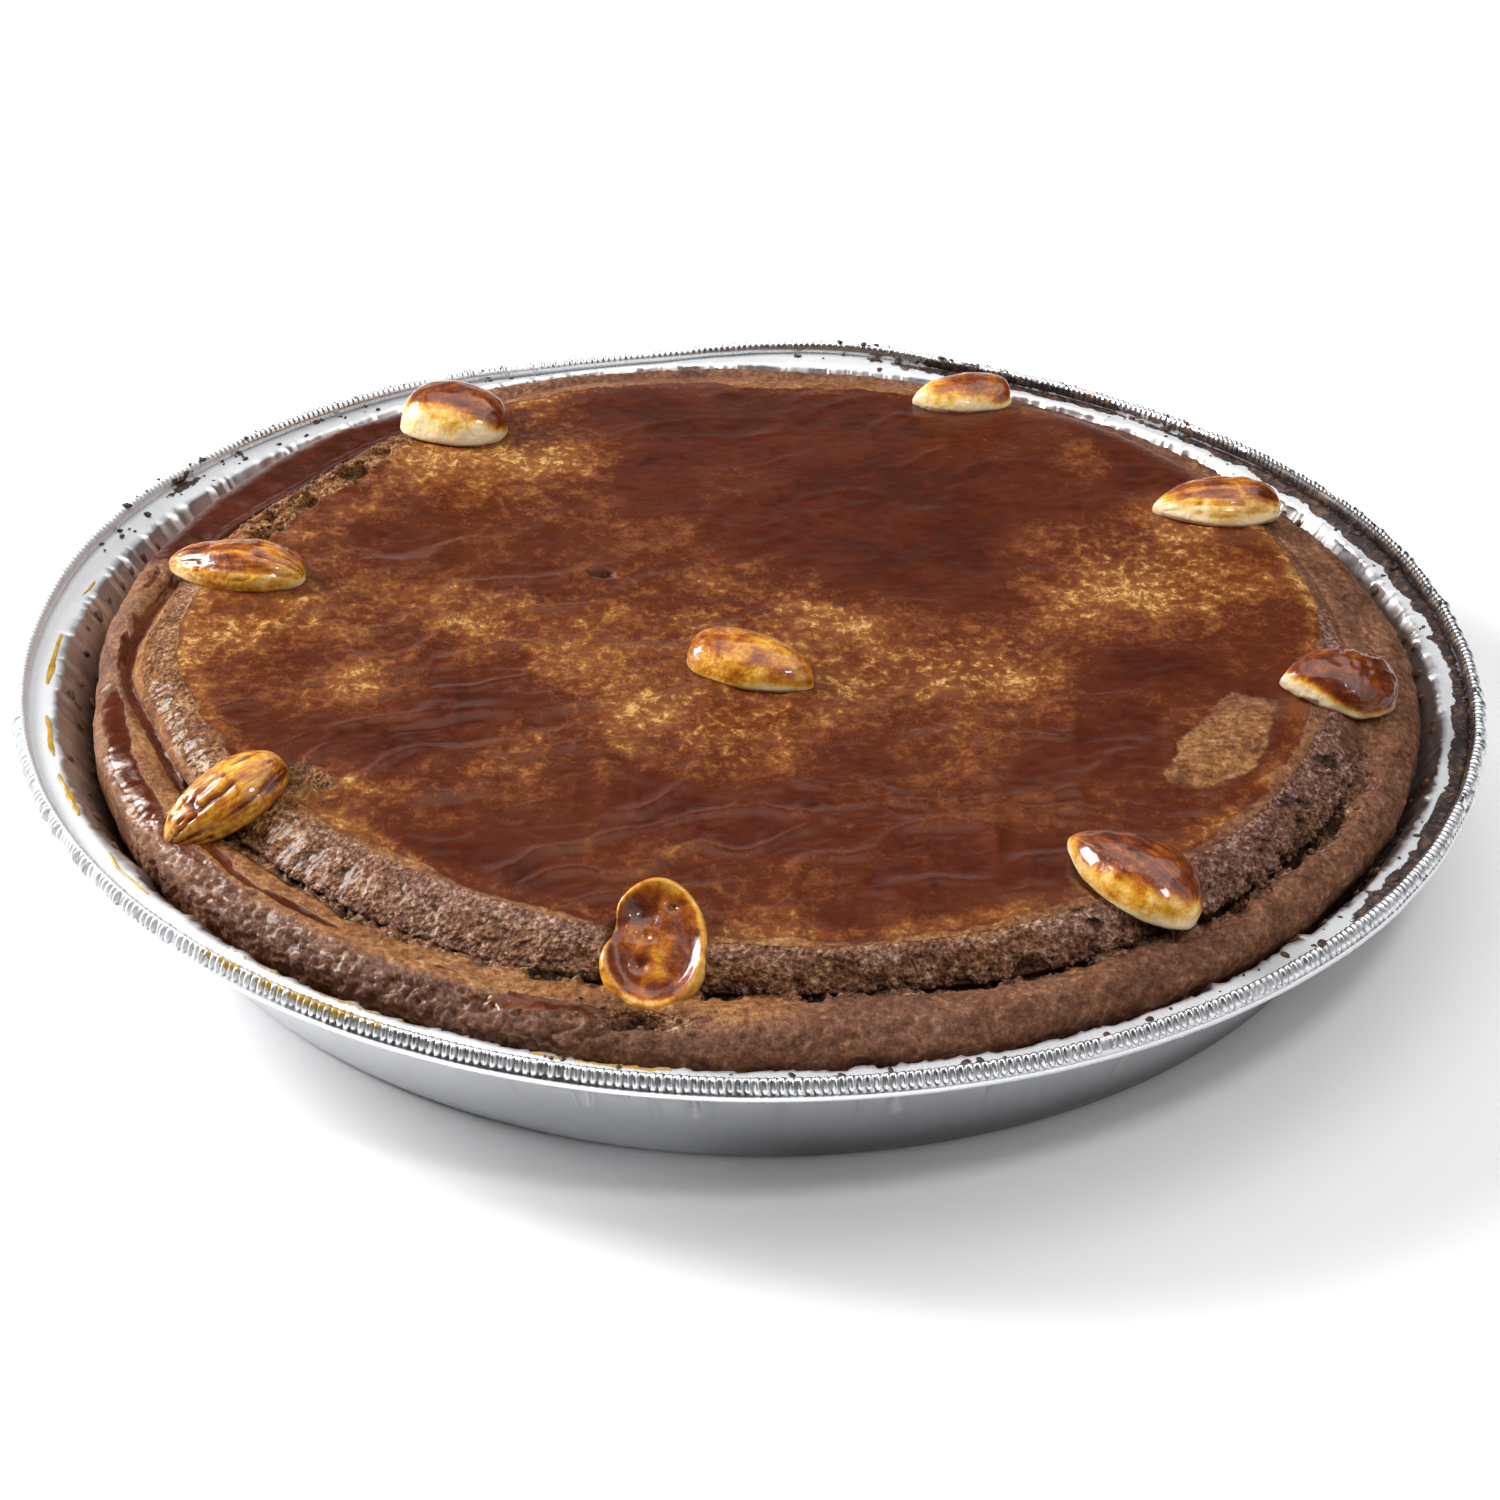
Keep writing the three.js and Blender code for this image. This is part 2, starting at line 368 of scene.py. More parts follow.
# ---- node helpers ----------------------------------------
FLOAT, COLOUR, VECTOR = "NodeSocketFloat", "NodeSocketColor", "NodeSocketVector"
WHOLE, MATERIAL = "NodeSocketInt", "NodeSocketMaterial"
STUDIO_LIGHT = 1.45  # how bright white paper looks where the tart lies; white on the screen is 1


def fill(tree, sockets, values):
    """Sets the named sockets, or links those whose value is another socket."""
    for key, value in values.items():
        if isinstance(value, bpy.types.NodeSocket):
            tree.links.new(value, sockets[key])
        elif value is not None:
            sockets[key].default_value = value


def put(tree, kind, *values, named=None, **settings):
    """Adds a node, sets its options, and fills or links its inputs by place and by name."""
    made = tree.nodes.new(kind)
    for key, value in settings.items():
        setattr(made, key, value)
    fill(tree, made.inputs, {**dict(enumerate(values)), **(named or {})})
    return made


def calc(tree, operation, *values):
    return put(tree, "ShaderNodeMath", *values, operation=operation).outputs[0]


def times(tree, first, *others):
    for other in others:
        first = calc(tree, "MULTIPLY", first, other)
    return first


def plus(tree, first, *others):
    for other in others:
        first = calc(tree, "ADD", first, other)
    return first


def blended(tree, factor, first, second):
    mixer = put(tree, "ShaderNodeMix", data_type="RGBA", named={0: factor, 6: first, 7: second})
    return mixer.outputs[2]


def mixed_value(tree, factor, first, second):
    mixer = put(tree, "ShaderNodeMix", factor, data_type="FLOAT", named={2: first, 3: second})
    return mixer.outputs[0]


def between(tree, value, low, high, start=0.0, end=1.0):
    """Maps low..high smoothly to start..end."""
    sockets = [value, low, high, start, end]
    return put(tree, "ShaderNodeMapRange", *sockets, interpolation_type="SMOOTHSTEP").outputs[0]


def noise(tree, vector, scale, detail=4.0, roughness=0.55, distortion=0.0):
    named = {"Vector": vector, "Scale": scale, "Detail": detail}
    named |= {"Roughness": roughness, "Distortion": distortion}
    return put(tree, "ShaderNodeTexNoise", named=named).outputs["Fac"]


def stretched(tree, vector, scale):
    return put(tree, "ShaderNodeMapping", named={"Vector": vector, "Scale": scale}).outputs[0]


def screen(red, green, blue):
    """The linear colour that shows as these screen values, 0 to 255, under the studio light."""
    scaled = [value / 255 for value in (red, green, blue)]
    linear = [v / 12.92 if v <= 0.04045 else ((v + 0.055) / 1.055) ** 2.4 for v in scaled]
    return (*(v / STUDIO_LIGHT for v in linear), 1)


def ramp(tree, factor, *stops):
    """A colour ramp through (place, red, green, blue) stops with screen values."""
    made = put(tree, "ShaderNodeValToRGB", factor)
    elements = made.color_ramp.elements
    while len(elements) < len(stops):
        elements.new(0.5)
    for element, (place, *colour) in zip(elements, stops):
        element.position = place
        element.color = screen(*colour)
    return made.outputs[0]


def two_tones(tree, factor, warmth, places, cool, warm):
    """A cool and a warm ramp with stops at the same places, blended by warmth."""
    stops = ([(place, *tone) for place, tone in zip(places, tones)] for tones in (cool, warm))
    return blended(tree, warmth, *(ramp(tree, factor, *row) for row in stops))


def read(tree, name):
    return put(tree, "ShaderNodeAttribute", attribute_name=name).outputs["Fac"]


def object_place(tree):
    return put(tree, "ShaderNodeTexCoord").outputs["Object"]


def new_group(name, inputs, outputs):
    """An empty shader node group, what it is given and what it has to give."""
    group = bpy.data.node_groups.new(name, "ShaderNodeTree")
    for socket, (kind, value) in inputs.items():
        made = group.interface.new_socket(socket, in_out="INPUT", socket_type=kind)
        if value is not None:
            made.default_value = value
    for socket, kind in outputs.items():
        group.interface.new_socket(socket, in_out="OUTPUT", socket_type=kind)
    given = group.nodes.new("NodeGroupInput").outputs
    return group, given, group.nodes.new("NodeGroupOutput").inputs


def use(tree, group, **named):
    """Places a node group and gives its outputs."""
    return put(tree, "ShaderNodeGroup", node_tree=group, named=named).outputs


def new_material(name):
    material = bpy.data.materials.new(name)
    material.use_nodes = True
    tree = material.node_tree
    return material, tree, tree.nodes["Principled BSDF"].inputs


def bump(tree, height, distance, strength):
    """A surface normal from a height field that is distance metres deep."""
    named = {"Height": height, "Distance": distance, "Strength": strength}
    return put(tree, "ShaderNodeBump", named=named).outputs[0]


# ---- shared effects ----------------------------------------
def egg_glaze_group():
    """Baked egg wash: dark red-brown, worn to gold in fine streaky flecks where Gold is high."""
    inputs = {"Place": (VECTOR, None), "Gold": (FLOAT, 0.5)}
    outputs = {"Colour": COLOUR, "Roughness": FLOAT, "Height": FLOAT}
    tree, given, result = new_group("egg glaze", inputs, outputs)
    gold = given["Gold"]
    streaky = stretched(tree, given["Place"], (0.85, 0.76, 1.0))
    clouds = noise(tree, streaky, 80, 5, 0.62, 0.4)
    flecks = noise(tree, streaky, 520, 6, 0.8, 0.2)
    veins = noise(tree, streaky, 180, 5, 0.64, 0.9)
    off_vein = calc(tree, "ABSOLUTE", calc(tree, "SUBTRACT", veins, 0.5))
    lace = between(tree, off_vein, 0.0, 0.04, 1.0, 0.0)
    speck = calc(tree, "SUBTRACT", flecks, 0.49)
    gain = calc(tree, "MULTIPLY_ADD", gold, 6.8, 0.7)
    bright = times(tree, calc(tree, "MAXIMUM", speck, 0.0), gain)
    dim = times(tree, calc(tree, "MINIMUM", speck, 0.0), 0.8)
    net = times(tree, lace, between(tree, clouds, 0.44, 0.6), times(tree, gold, 0.5))
    cloudy = times(tree, calc(tree, "SUBTRACT", clouds, 0.5), 1.5)
    share = calc(tree, "MULTIPLY_ADD", plus(tree, bright, dim, net, cloudy, gold), 0.6, 0.09)
    dark_stops = [(0.03, 75, 28, 11), (0.15, 91, 36, 15), (0.28, 97, 42, 17), (0.4, 113, 54, 22)]
    gold_stops = [(0.52, 134, 72, 31), (0.65, 155, 95, 42), (0.8, 186, 130, 66)]
    made = {
        "Colour": ramp(tree, share, *dark_stops, *gold_stops, (0.97, 228, 182, 112)),
        "Roughness": between(tree, share, 0.15, 0.8, 0.2, 0.5),
        "Height": calc(tree, "MULTIPLY_ADD", flecks, 0.6, clouds),
    }
    fill(tree, result, made)
    return tree


def crumb_group():
    """Torn dough: grey-brown grains with dark specks and light specks, partly painted glints, or
    golden where Warmth is high.
    """
    inputs = {"Place": (VECTOR, None), "Warmth": (FLOAT, 0.0)}
    outputs = {"Colour": COLOUR, "Height": FLOAT}
    tree, given, result = new_group("crumb", inputs, outputs)
    place = given["Place"]
    grains = put(tree, "ShaderNodeTexVoronoi", named={"Vector": place, "Scale": 1100})
    speck = noise(tree, place, 1100, 3, 0.7)
    cloud = noise(tree, place, 190, 4, 0.65)
    mixed = calc(tree, "MULTIPLY_ADD", speck, 0.75, times(tree, cloud, 0.3))
    # the palest stops are partly painted glints on the grains
    cool = [(86, 49, 38), (134, 90, 75), (172, 128, 111), (250, 214, 200)]
    warm = [(74, 37, 16), (144, 88, 46), (184, 128, 76), (238, 198, 144)]
    colour = two_tones(tree, mixed, given["Warmth"], (0.4, 0.5, 0.58, 0.7), cool, warm)
    height = calc(tree, "MULTIPLY_ADD", grains.outputs["Distance"], -0.7, speck)
    fill(tree, result, {"Colour": colour, "Height": height})
    return tree


def skin_group():
    """Unglazed baked crust: cool brown, or caramel where Warmth is high, with sandy relief."""
    inputs = {"Place": (VECTOR, None), "Warmth": (FLOAT, 0.0)}
    outputs = {"Colour": COLOUR, "Height": FLOAT}
    tree, given, result = new_group("baked skin", inputs, outputs)
    cloud = noise(tree, given["Place"], 120, 5, 0.68, 0.5)
    fine = noise(tree, given["Place"], 900, 5, 0.75)
    mixed = calc(tree, "MULTIPLY_ADD", fine, 0.65, times(tree, cloud, 0.35))
    cool = [(78, 42, 28), (116, 73, 53), (142, 95, 72), (200, 150, 122)]
    warm = [(98, 50, 20), (152, 93, 47), (186, 127, 72), (238, 190, 130)]
    colour = two_tones(tree, mixed, given["Warmth"], (0.38, 0.47, 0.54, 0.66), cool, warm)
    fill(tree, result, {"Colour": colour, "Height": mixed})
    return tree


def crumpled_group():
    """Pressed foil: soft dents, fine scratches, and lines running outwards where Lines is 1."""
    inputs = {"Place": (VECTOR, None), "Lines": (FLOAT, 0.0), "Satin": (FLOAT, 0.0)}
    outputs = {"Height": FLOAT, "Roughness": FLOAT}
    tree, given, result = new_group("crumpled foil", inputs, outputs)
    place = given["Place"]
    dents = noise(tree, place, 70, 2, 0.5, 0.4)
    scratches = noise(tree, place, 700, 2, 0.5)
    spot = put(tree, "ShaderNodeSeparateXYZ", place).outputs
    angle = calc(tree, "ARCTAN2", spot[1], spot[0])
    round_ = put(tree, "ShaderNodeCombineXYZ", times(tree, angle, 150.0)).outputs[0]
    pressed = noise(tree, round_, 1.6, 3, 0.6)
    height = calc(tree, "MULTIPLY_ADD", scratches, 0.03, times(tree, dents, 0.6))
    height = plus(tree, height, times(tree, pressed, given["Lines"], 0.5))
    rough = between(tree, scratches, 0.3, 0.7, 0.26, 0.34)
    rough = calc(tree, "MULTIPLY_ADD", given["Satin"], 0.22, rough)
    fill(tree, result, {"Height": height, "Roughness": rough})
    return tree


def stain_group():
    """Turns a soft 0-1 mask into a blotchy, speckled one with hard little edges."""
    inputs = {"Place": (VECTOR, None), "Amount": (FLOAT, 0.0), "Scale": (FLOAT, 600.0)}
    outputs = {"Mask": FLOAT, "Mottle": FLOAT}
    tree, given, result = new_group("stain", inputs, outputs)
    flecks = noise(tree, given["Place"], given["Scale"], 6, 0.72, 0.5)
    spread = between(tree, plus(tree, given["Amount"], flecks), 0.98, 1.06)
    mask = times(tree, spread, calc(tree, "GREATER_THAN", given["Amount"], 0.01))
    fill(tree, result, {"Mask": mask, "Mottle": flecks})
    return tree


EGG_GLAZE = egg_glaze_group()
CRUMB = crumb_group()
SKIN = skin_group()
CRUMPLED = crumpled_group()
STAIN = stain_group()


# ---- materials ----------------------------------------
def frayed(tree, mask, fray):
    """A mask with a ragged edge."""
    return between(tree, calc(tree, "MULTIPLY_ADD", fray, 0.6, mask), 0.72, 0.92)


def crust_material(name, specular):
    """Crust whose own masks say where it is glazed, bare or torn, how glossy it is, and where its
    deep places are painted dark as shade.
    """
    material, tree, shader = new_material(name)
    place = object_place(tree)
    fray = noise(tree, place, 420, 7, 0.74)
    warmth, deep, gloss = read(tree, "warmth"), read(tree, "deep"), read(tree, "gloss")
    bare, torn = (frayed(tree, read(tree, mask), fray) for mask in ("bare", "torn"))
    glaze = use(tree, EGG_GLAZE, Place=place, Gold=read(tree, "gold"))
    skin = use(tree, SKIN, Place=place, Warmth=warmth)
    crumb = use(tree, CRUMB, Place=place, Warmth=warmth)
    colour = blended(tree, bare, glaze["Colour"], skin["Colour"])
    colour = blended(tree, torn, colour, crumb["Colour"])
    rough = glaze["Roughness"]
    for mask, roughness in ((bare, 0.5), (torn, 0.42), (gloss, 0.16), (deep, 0.9)):
        rough = mixed_value(tree, mask, rough, roughness)
    relief = mixed_value(tree, bare, times(tree, glaze["Height"], 0.2), skin["Height"])
    relief = mixed_value(tree, torn, relief, times(tree, crumb["Height"], 1.3))
    finish = {
        # deep places (crevices, holes, pits, gaps between grains) are painted dark: painted shade
        "Base Color": blended(tree, deep, colour, screen(38, 19, 12)),
        "Roughness": rough,
        "Normal": bump(tree, relief, 0.0014, 0.7),
        "Coat Weight": times(tree, gloss, 0.3),
        "Coat Roughness": 0.17,
        "Specular IOR Level": specular,
        "Specular Tint": (1, 0.68, 0.5, 1),
    }
    fill(tree, shader, finish)
    return material


def foil_material():
    """Bright foil with egg wash on its left and syrup burnt on to its right, painted shade and a
    painted brown reflection of the crust.
    """
    material, tree, shader = new_material("tin foil")
    place = object_place(tree)
    lines = read(tree, "lines")
    foil = use(tree, CRUMPLED, Place=place, Lines=lines, Satin=read(tree, "satin"))
    burnt = use(tree, STAIN, Place=place, Amount=read(tree, "burnt"), Scale=520.0)
    egg = use(tree, STAIN, Place=place, Amount=read(tree, "egg"), Scale=900.0)
    syrup_stops = [(0.4, 26, 16, 16), (0.52, 62, 44, 46), (0.62, 126, 94, 62)]
    # dull darkens the foil's colour: painted shade on the outer wall and the flange
    colour = blended(tree, read(tree, "dull"), (0.78, 0.79, 0.81, 1), (0.1, 0.1, 0.104, 1))
    # stained tints the inner wall brown: a painted reflection of the crust
    colour = blended(tree, read(tree, "stained"), colour, (0.4, 0.29, 0.22, 1))
    colour = blended(tree, egg["Mask"], colour, screen(214, 174, 82))
    colour = blended(tree, burnt["Mask"], colour, ramp(tree, burnt["Mottle"], *syrup_stops))
    covered = calc(tree, "MAXIMUM", burnt["Mask"], times(tree, egg["Mask"], 0.8))
    covered = calc(tree, "MAXIMUM", covered, times(tree, lines, 0.8))
    finish = {
        "Base Color": colour,
        "Metallic": calc(tree, "SUBTRACT", 1.0, covered),
        "Roughness": mixed_value(tree, burnt["Mask"], foil["Roughness"], 0.4),
        "Normal": bump(tree, foil["Height"], 0.001, 0.3),
    }
    fill(tree, shader, finish)
    return material


def nut_material():
    """Roasted almond: cream flesh, browned where Roast is high, with darker lengthwise streaks."""
    material, tree, shader = new_material("roasted almond")
    place = object_place(tree)
    skin = put(tree, "ShaderNodeUVMap", uv_map="skin").outputs[0]
    streaky = read(tree, "streaks")
    streaks = noise(tree, stretched(tree, skin, (2.0, 30, 1)), 1.0, 4, 0.6, 0.25)
    blotches = noise(tree, place, 240, 7, 0.72, 0.4)
    fine = noise(tree, place, 1300, 3, 0.6)
    dents = noise(tree, place, 330, 2, 0.5)
    streak_part = times(tree, calc(tree, "SUBTRACT", streaks, 0.5), streaky)
    blotch_part = times(tree, calc(tree, "SUBTRACT", blotches, 0.5), read(tree, "blotches"))
    level = plus(tree, read(tree, "roast"), plus(tree, streak_part, blotch_part))
    pale_stops = [(0.0, 295, 270, 224), (0.14, 280, 234, 142), (0.28, 256, 186, 60)]
    brown_stops = [(0.44, 204, 114, 26), (0.6, 142, 66, 24), (0.78, 98, 40, 20), (1.0, 60, 27, 20)]
    relief = calc(tree, "MULTIPLY_ADD", streaks, streaky, dents)
    relief = calc(tree, "MULTIPLY_ADD", fine, 0.3, relief)
    finish = {
        "Base Color": ramp(tree, level, *pale_stops, *brown_stops),
        "Normal": bump(tree, relief, 0.0012, 0.4),
        "Roughness": 0.3,
        "Specular IOR Level": 0.2,
        "Coat Weight": 0.7,
        "Coat Roughness": 0.1,
        "Subsurface Weight": 0.12,
        "Subsurface Scale": 0.002,
    }
    fill(tree, shader, finish)
    return material


def mottled_material(name, dark, light, roughness, scale):
    """A small thing's finish: two colours mottled together."""
    material, tree, shader = new_material(name)
    mottle = noise(tree, object_place(tree), scale, 4, 0.65)
    colour = ramp(tree, mottle, (0.35, *dark), (0.65, *light))
    normal = bump(tree, mottle, 0.0004, 0.5)
    fill(tree, shader, {"Base Color": colour, "Normal": normal, "Roughness": roughness})
    return material


# ---- nuts pressed into the crust ----------------------------------------
def nut_axes(node):
    """Middle of a packed nut, its axes (to the tip, across, up) as columns, and its extents."""
    points = node_points(node)
    middle = points.mean(axis=0)
    _, directions = np.linalg.eigh(np.cov((points - middle).T))
    up = directions[:, 0] * np.sign(directions[2, 0])
    turn = math.radians(NUT_LOOKS[node]["points_to"])
    tip = directions[:, 2] * np.sign(directions[:2, 2] @ (math.cos(turn), math.sin(turn)))
    axes = np.stack([tip, np.cross(up, tip), up], axis=1)
    local = (points - middle) @ axes
    return middle, axes, local.min(axis=0), local.max(axis=0)


# How each nut lies and was roasted. Brown is how dark it gets, on the side that faces
# brown_towards; base is how dark the rest is, edge how far the brown reaches, and cream how
# high its pale lower rim comes. Streaks and grooves run lengthwise. Square blunts its broad
# end, pointed sharpens its tip, bow bends it sideways, lean tips its ridge sideways and lumpy
# roughens its surface.
NUT_LOOKS = {
    "almond_1": dict(
        points_to=-20, base=0.1, brown=0.64, brown_towards=(0.35, 0.5, 0.7), edge=-0.05,
        streaks=1.0, square=0.26, lean=1.8, pointed=0.42,
    ),
    "almond_2": dict(
        points_to=166, base=0.26, brown=0.54, brown_towards=(0, 0.6, 0.6), edge=0.0,
        streaks=1.3, cream=-0.1, grooves=0.35,
    ),
    "almond_3": dict(
        points_to=-149, base=0.24, brown=0.36, brown_towards=(0, 0, 0.6), edge=-0.6,
        streaks=0.9, grooves=0.8, cream=-0.3,
    ),
    "almond_4": dict(
        points_to=86, base=0.22, brown=0.56, brown_towards=(0, 0, 1), edge=0.2,
        streaks=0.1, hollow=1.8, square=0.46,
    ),
    "almond_5": dict(
        points_to=137, base=0.25, brown=0.66, brown_towards=(0.3, 0.45, 0.6), edge=0.0,
        streaks=1.4, bow=-1.3, cream=0.0, pointed=0.8,
    ),
    "almond_6": dict(
        points_to=188, base=0.08, brown=0.68, brown_towards=(0.5, 0.0, 0.8), edge=-0.32,
        streaks=0.4, pointed=1.0, square=0.4, lumpy=0.65,
    ),
    "almond_7": dict(
        points_to=181, base=0.12, brown=0.54, brown_towards=(0, 0.6, 0.7), edge=0.0,
        streaks=1.6, lean=-1.4, pointed=0.9, grooves=0.3,
    ),
    "almond_8": dict(
        points_to=188, base=0.1, brown=0.54, brown_towards=(0.5, 0.35, 0.8), edge=0.15,
        streaks=0.5, square=0.22, lean=-1.3, pointed=0.85,
    ),
    "almond_9": dict(
        points_to=-26, base=0.38, brown=0.48, brown_towards=(-0.3, 0.5, 0.7), edge=0.4,
        streaks=0.9, square=0.3, lean=0.9, cream=0.0,
    ),
}
PLAIN_NUT = dict(
    grooves=0.0, hollow=0.0, square=0.5, pointed=0.68, bow=0.0, lean=0.0, cream=0.12, lumpy=0.16
)
NUT_AXES = {node: nut_axes(node) for node in NUTS}


def pressed_by_nuts(points):
    """Presses a crust down under each nut and close round it, to 0.9 mm above its underside."""
    pressed = points.copy()
    for middle, axes, low, high in NUT_AXES.values():
        local = (pressed - middle) @ axes
        centre, half = (low + high) / 2, (high - low) / 2
        off = np.hypot((local[:, 0] - centre[0]) / half[0], (local[:, 1] - centre[1]) / half[1])
        limit = low[2] + 0.9 + 10 * ease(off, 0.84, 1.22)
        near = (off < 1.2) & (local[:, 2] > limit)
        local[near, 2] = limit[near]
        pressed[near] = middle + local[near] @ axes.T
    return pressed


# ---- lid ----------------------------------------
# Gold shows through the glaze round these spots: azimuth, radius, how wide, how strong.
GOLD_SPOTS = [
    (40, 10, 17, 0.22), (-100, 28, 20, 0.29), (-60, 30, 9, 0.22), (-150, 32, 15, 0.18),
    (-30, 30, 16, 0.3), (174, 30, 14, 0.06), (180, 62, 24, 0.2), (-174, 90, 14, 0.3),
    (162, 88, 9, 0.22), (140, 84, 13, 0.52), (124, 68, 13, 0.34), (-20, 50, 15, 0.45),
    (-24, 88, 10, 0.3), (2, 82, 12, 0.42), (-100, 44, 9, 0.22), (-158, 69, 8, 0.28),
    (-42, 57, 8, 0.2), (44, 90, 8, 0.32), (120, 86, 11, 0.4), (160, 30, 10, 0.15),
    (139, 58, 9, 0.28), (14, 66, 17, 0.44), (9, 64, 9, 0.2), (22, 84, 14, 0.48),
    (-172, 46, 10, 0.22), (100, 16, 11, 0.15), (-38, 90, 8, 0.2), (-116, 48, 13, 0.14),
    (-141, 88, 8, 0.4),
]
DARK_SPOTS = [
    (80, 68, 32, 0.3), (100, 86, 18, 0.2), (50, 50, 20, 0.15), (-42, 66, 13, 0.3),
    (-62, 86, 14, 0.2), (-84, 66, 16, 0.12), (-116, 86, 16, 0.2), (24, 70, 9, 0.12),
    (-12, 62, 10, 0.15), (160, 64, 9, 0.15), (-150, 66, 14, 0.1),
]


def spot_field(points, spots):
    total = np.zeros(len(points))
    for azimuth, radius, width, strength in spots:
        turn = math.radians(azimuth)
        off = points[:, :2] - radius * np.array([math.cos(turn), math.sin(turn)])
        total += strength * np.exp(-(off**2).sum(axis=1) / width**2)
    return total


NOOK = (-71, -57)  # torn little bay in the lid's edge at the front left
PINHOLE = (-27, 16)
PATCH_AZIMUTH, PATCH_RADIUS = math.radians(-26.5), 88  # bare patch near the right edge


def distance_to(points, spot):
    """How far points lie from a spot seen from above."""
    return np.hypot(points[:, 0] - spot[0], points[:, 1] - spot[1])


def gold_at(points):
    """How far the gold shows through the glaze, 0 to 1."""
    wobble = rough_noise(points * (0.8, 1, 1), 15, 11, 3)
    total = 0.26 + spot_field(points, GOLD_SPOTS) - spot_field(points, DARK_SPOTS) + 0.28 * wobble
    return np.clip(total, 0, 1)


CRUST_POINTS = 1440  # points round the rim of each crust


def lid_top(radius, azimuth):
    share = radius / lid_edge(azimuth)
    return LID_CENTRE + (lid_height(azimuth) - LID_CENTRE) * share**2


def brush_ripples(points):
    """A net of low wavy ridges that the pastry brush left, strongest in the front left half."""
    radius, azimuth = polar(points)
    warp = 6 * soft_noise(points, 24, 21) + 3.4 * soft_noise(points, 9, 22)
    across = points[:, 1] - 0.3 * points[:, 0] + 0.0012 * points[:, 0] ** 2 + warp
    flow = np.stack([points[:, 0] * 0.55, across, 0 * across], axis=1)
    wide = np.clip(1 - 2.6 * np.abs(soft_noise(flow, 8.5, 23)), 0, 1) ** 1.4
    narrow = np.clip(1 - 2.6 * np.abs(soft_noise(flow * (1.5, 1, 1), 4.2, 24)), 0, 1)
    wave = 0.6 * wide + 0.24 * narrow + 0.1 * rough_noise(points, 3, 25, 2)
    share = 0.2 + 0.8 * ease(-points[:, 1] - 0.5 * points[:, 0], -30, 35)
    fade = 1 - ease(radius / lid_edge(azimuth), 0.93, 0.99)
    return 1.05 * wave * share * fade


def granular_share(azimuth, side):
    """Where the lid's side is torn crumb; side runs from 0 at its foot to 1 at its edge."""
    front = window(azimuth, -84, 58, 10) * (1 - ease(side, 0.86, 0.98))
    left = window(azimuth, -160, 26, 10) * ease(side, 0.12, 0.3) * (1 - ease(side, 0.92, 1.02))
    right = window(azimuth, -14, 14, 8) * ease(side, 0.4, 0.6) * (1 - ease(side, 0.7, 0.9))
    return np.maximum(np.maximum(front, left), right)


def crack_share(points):
    """The crumbly crack between the two nuts at the back left."""
    radius, azimuth = polar(points)
    wander = 2.2 * soft_noise(points, 11, 63)
    line = lid_edge(azimuth) - 1.5 + wander
    band = bell(radius - line, 3.0) * window(azimuth, 148, 15, 5)
    return np.clip(band * 1.5 + 0.5 * rough_noise(points, 5, 61, 3) * band, 0, 1)


def crevice_depth(azimuth):
    """How far the lid and the ring have parted along the front, 0 to 1.4 and uneven."""
    line = along_rim(azimuth)
    uneven = 0.42 + 0.8 * soft_noise(line, 6, 91) + 0.6 * soft_noise(line, 2.4, 92)
    uneven += 0.5 * soft_noise(line, 1.2, 93)
    parted = 0.25 + 0.75 * window(azimuth, -66, 30, 12)
    return window(azimuth, -92, 54, 12) * parted * np.clip(uneven, 0.05, 1.3)


def bare_patch(points):
    """The squarish bare patch near the right edge, 0 to 1."""
    off_x = points[:, 0] - PATCH_RADIUS * math.cos(PATCH_AZIMUTH)
    off_y = points[:, 1] - PATCH_RADIUS * math.sin(PATCH_AZIMUTH)
    along, beside = off_x * 0.35 + off_y * 0.94, off_x * 0.94 - off_y * 0.35
    squared = (np.abs(along / 21) ** 3 + np.abs((beside - 0.15 * along) / 7.6) ** 3) ** (1 / 3)
    return 1 - ease(squared + 0.32 * rough_noise(points, 9, 45, 4), 0.5, 1.05)


def pinhole(points):
    """The small hole in the glaze, 0 to 1."""
    off = np.hypot((points[:, 0] - PINHOLE[0]) / 2.6, (points[:, 1] - PINHOLE[1]) / 1.1)
    return 1 - ease(off, 0.5, 1.1)


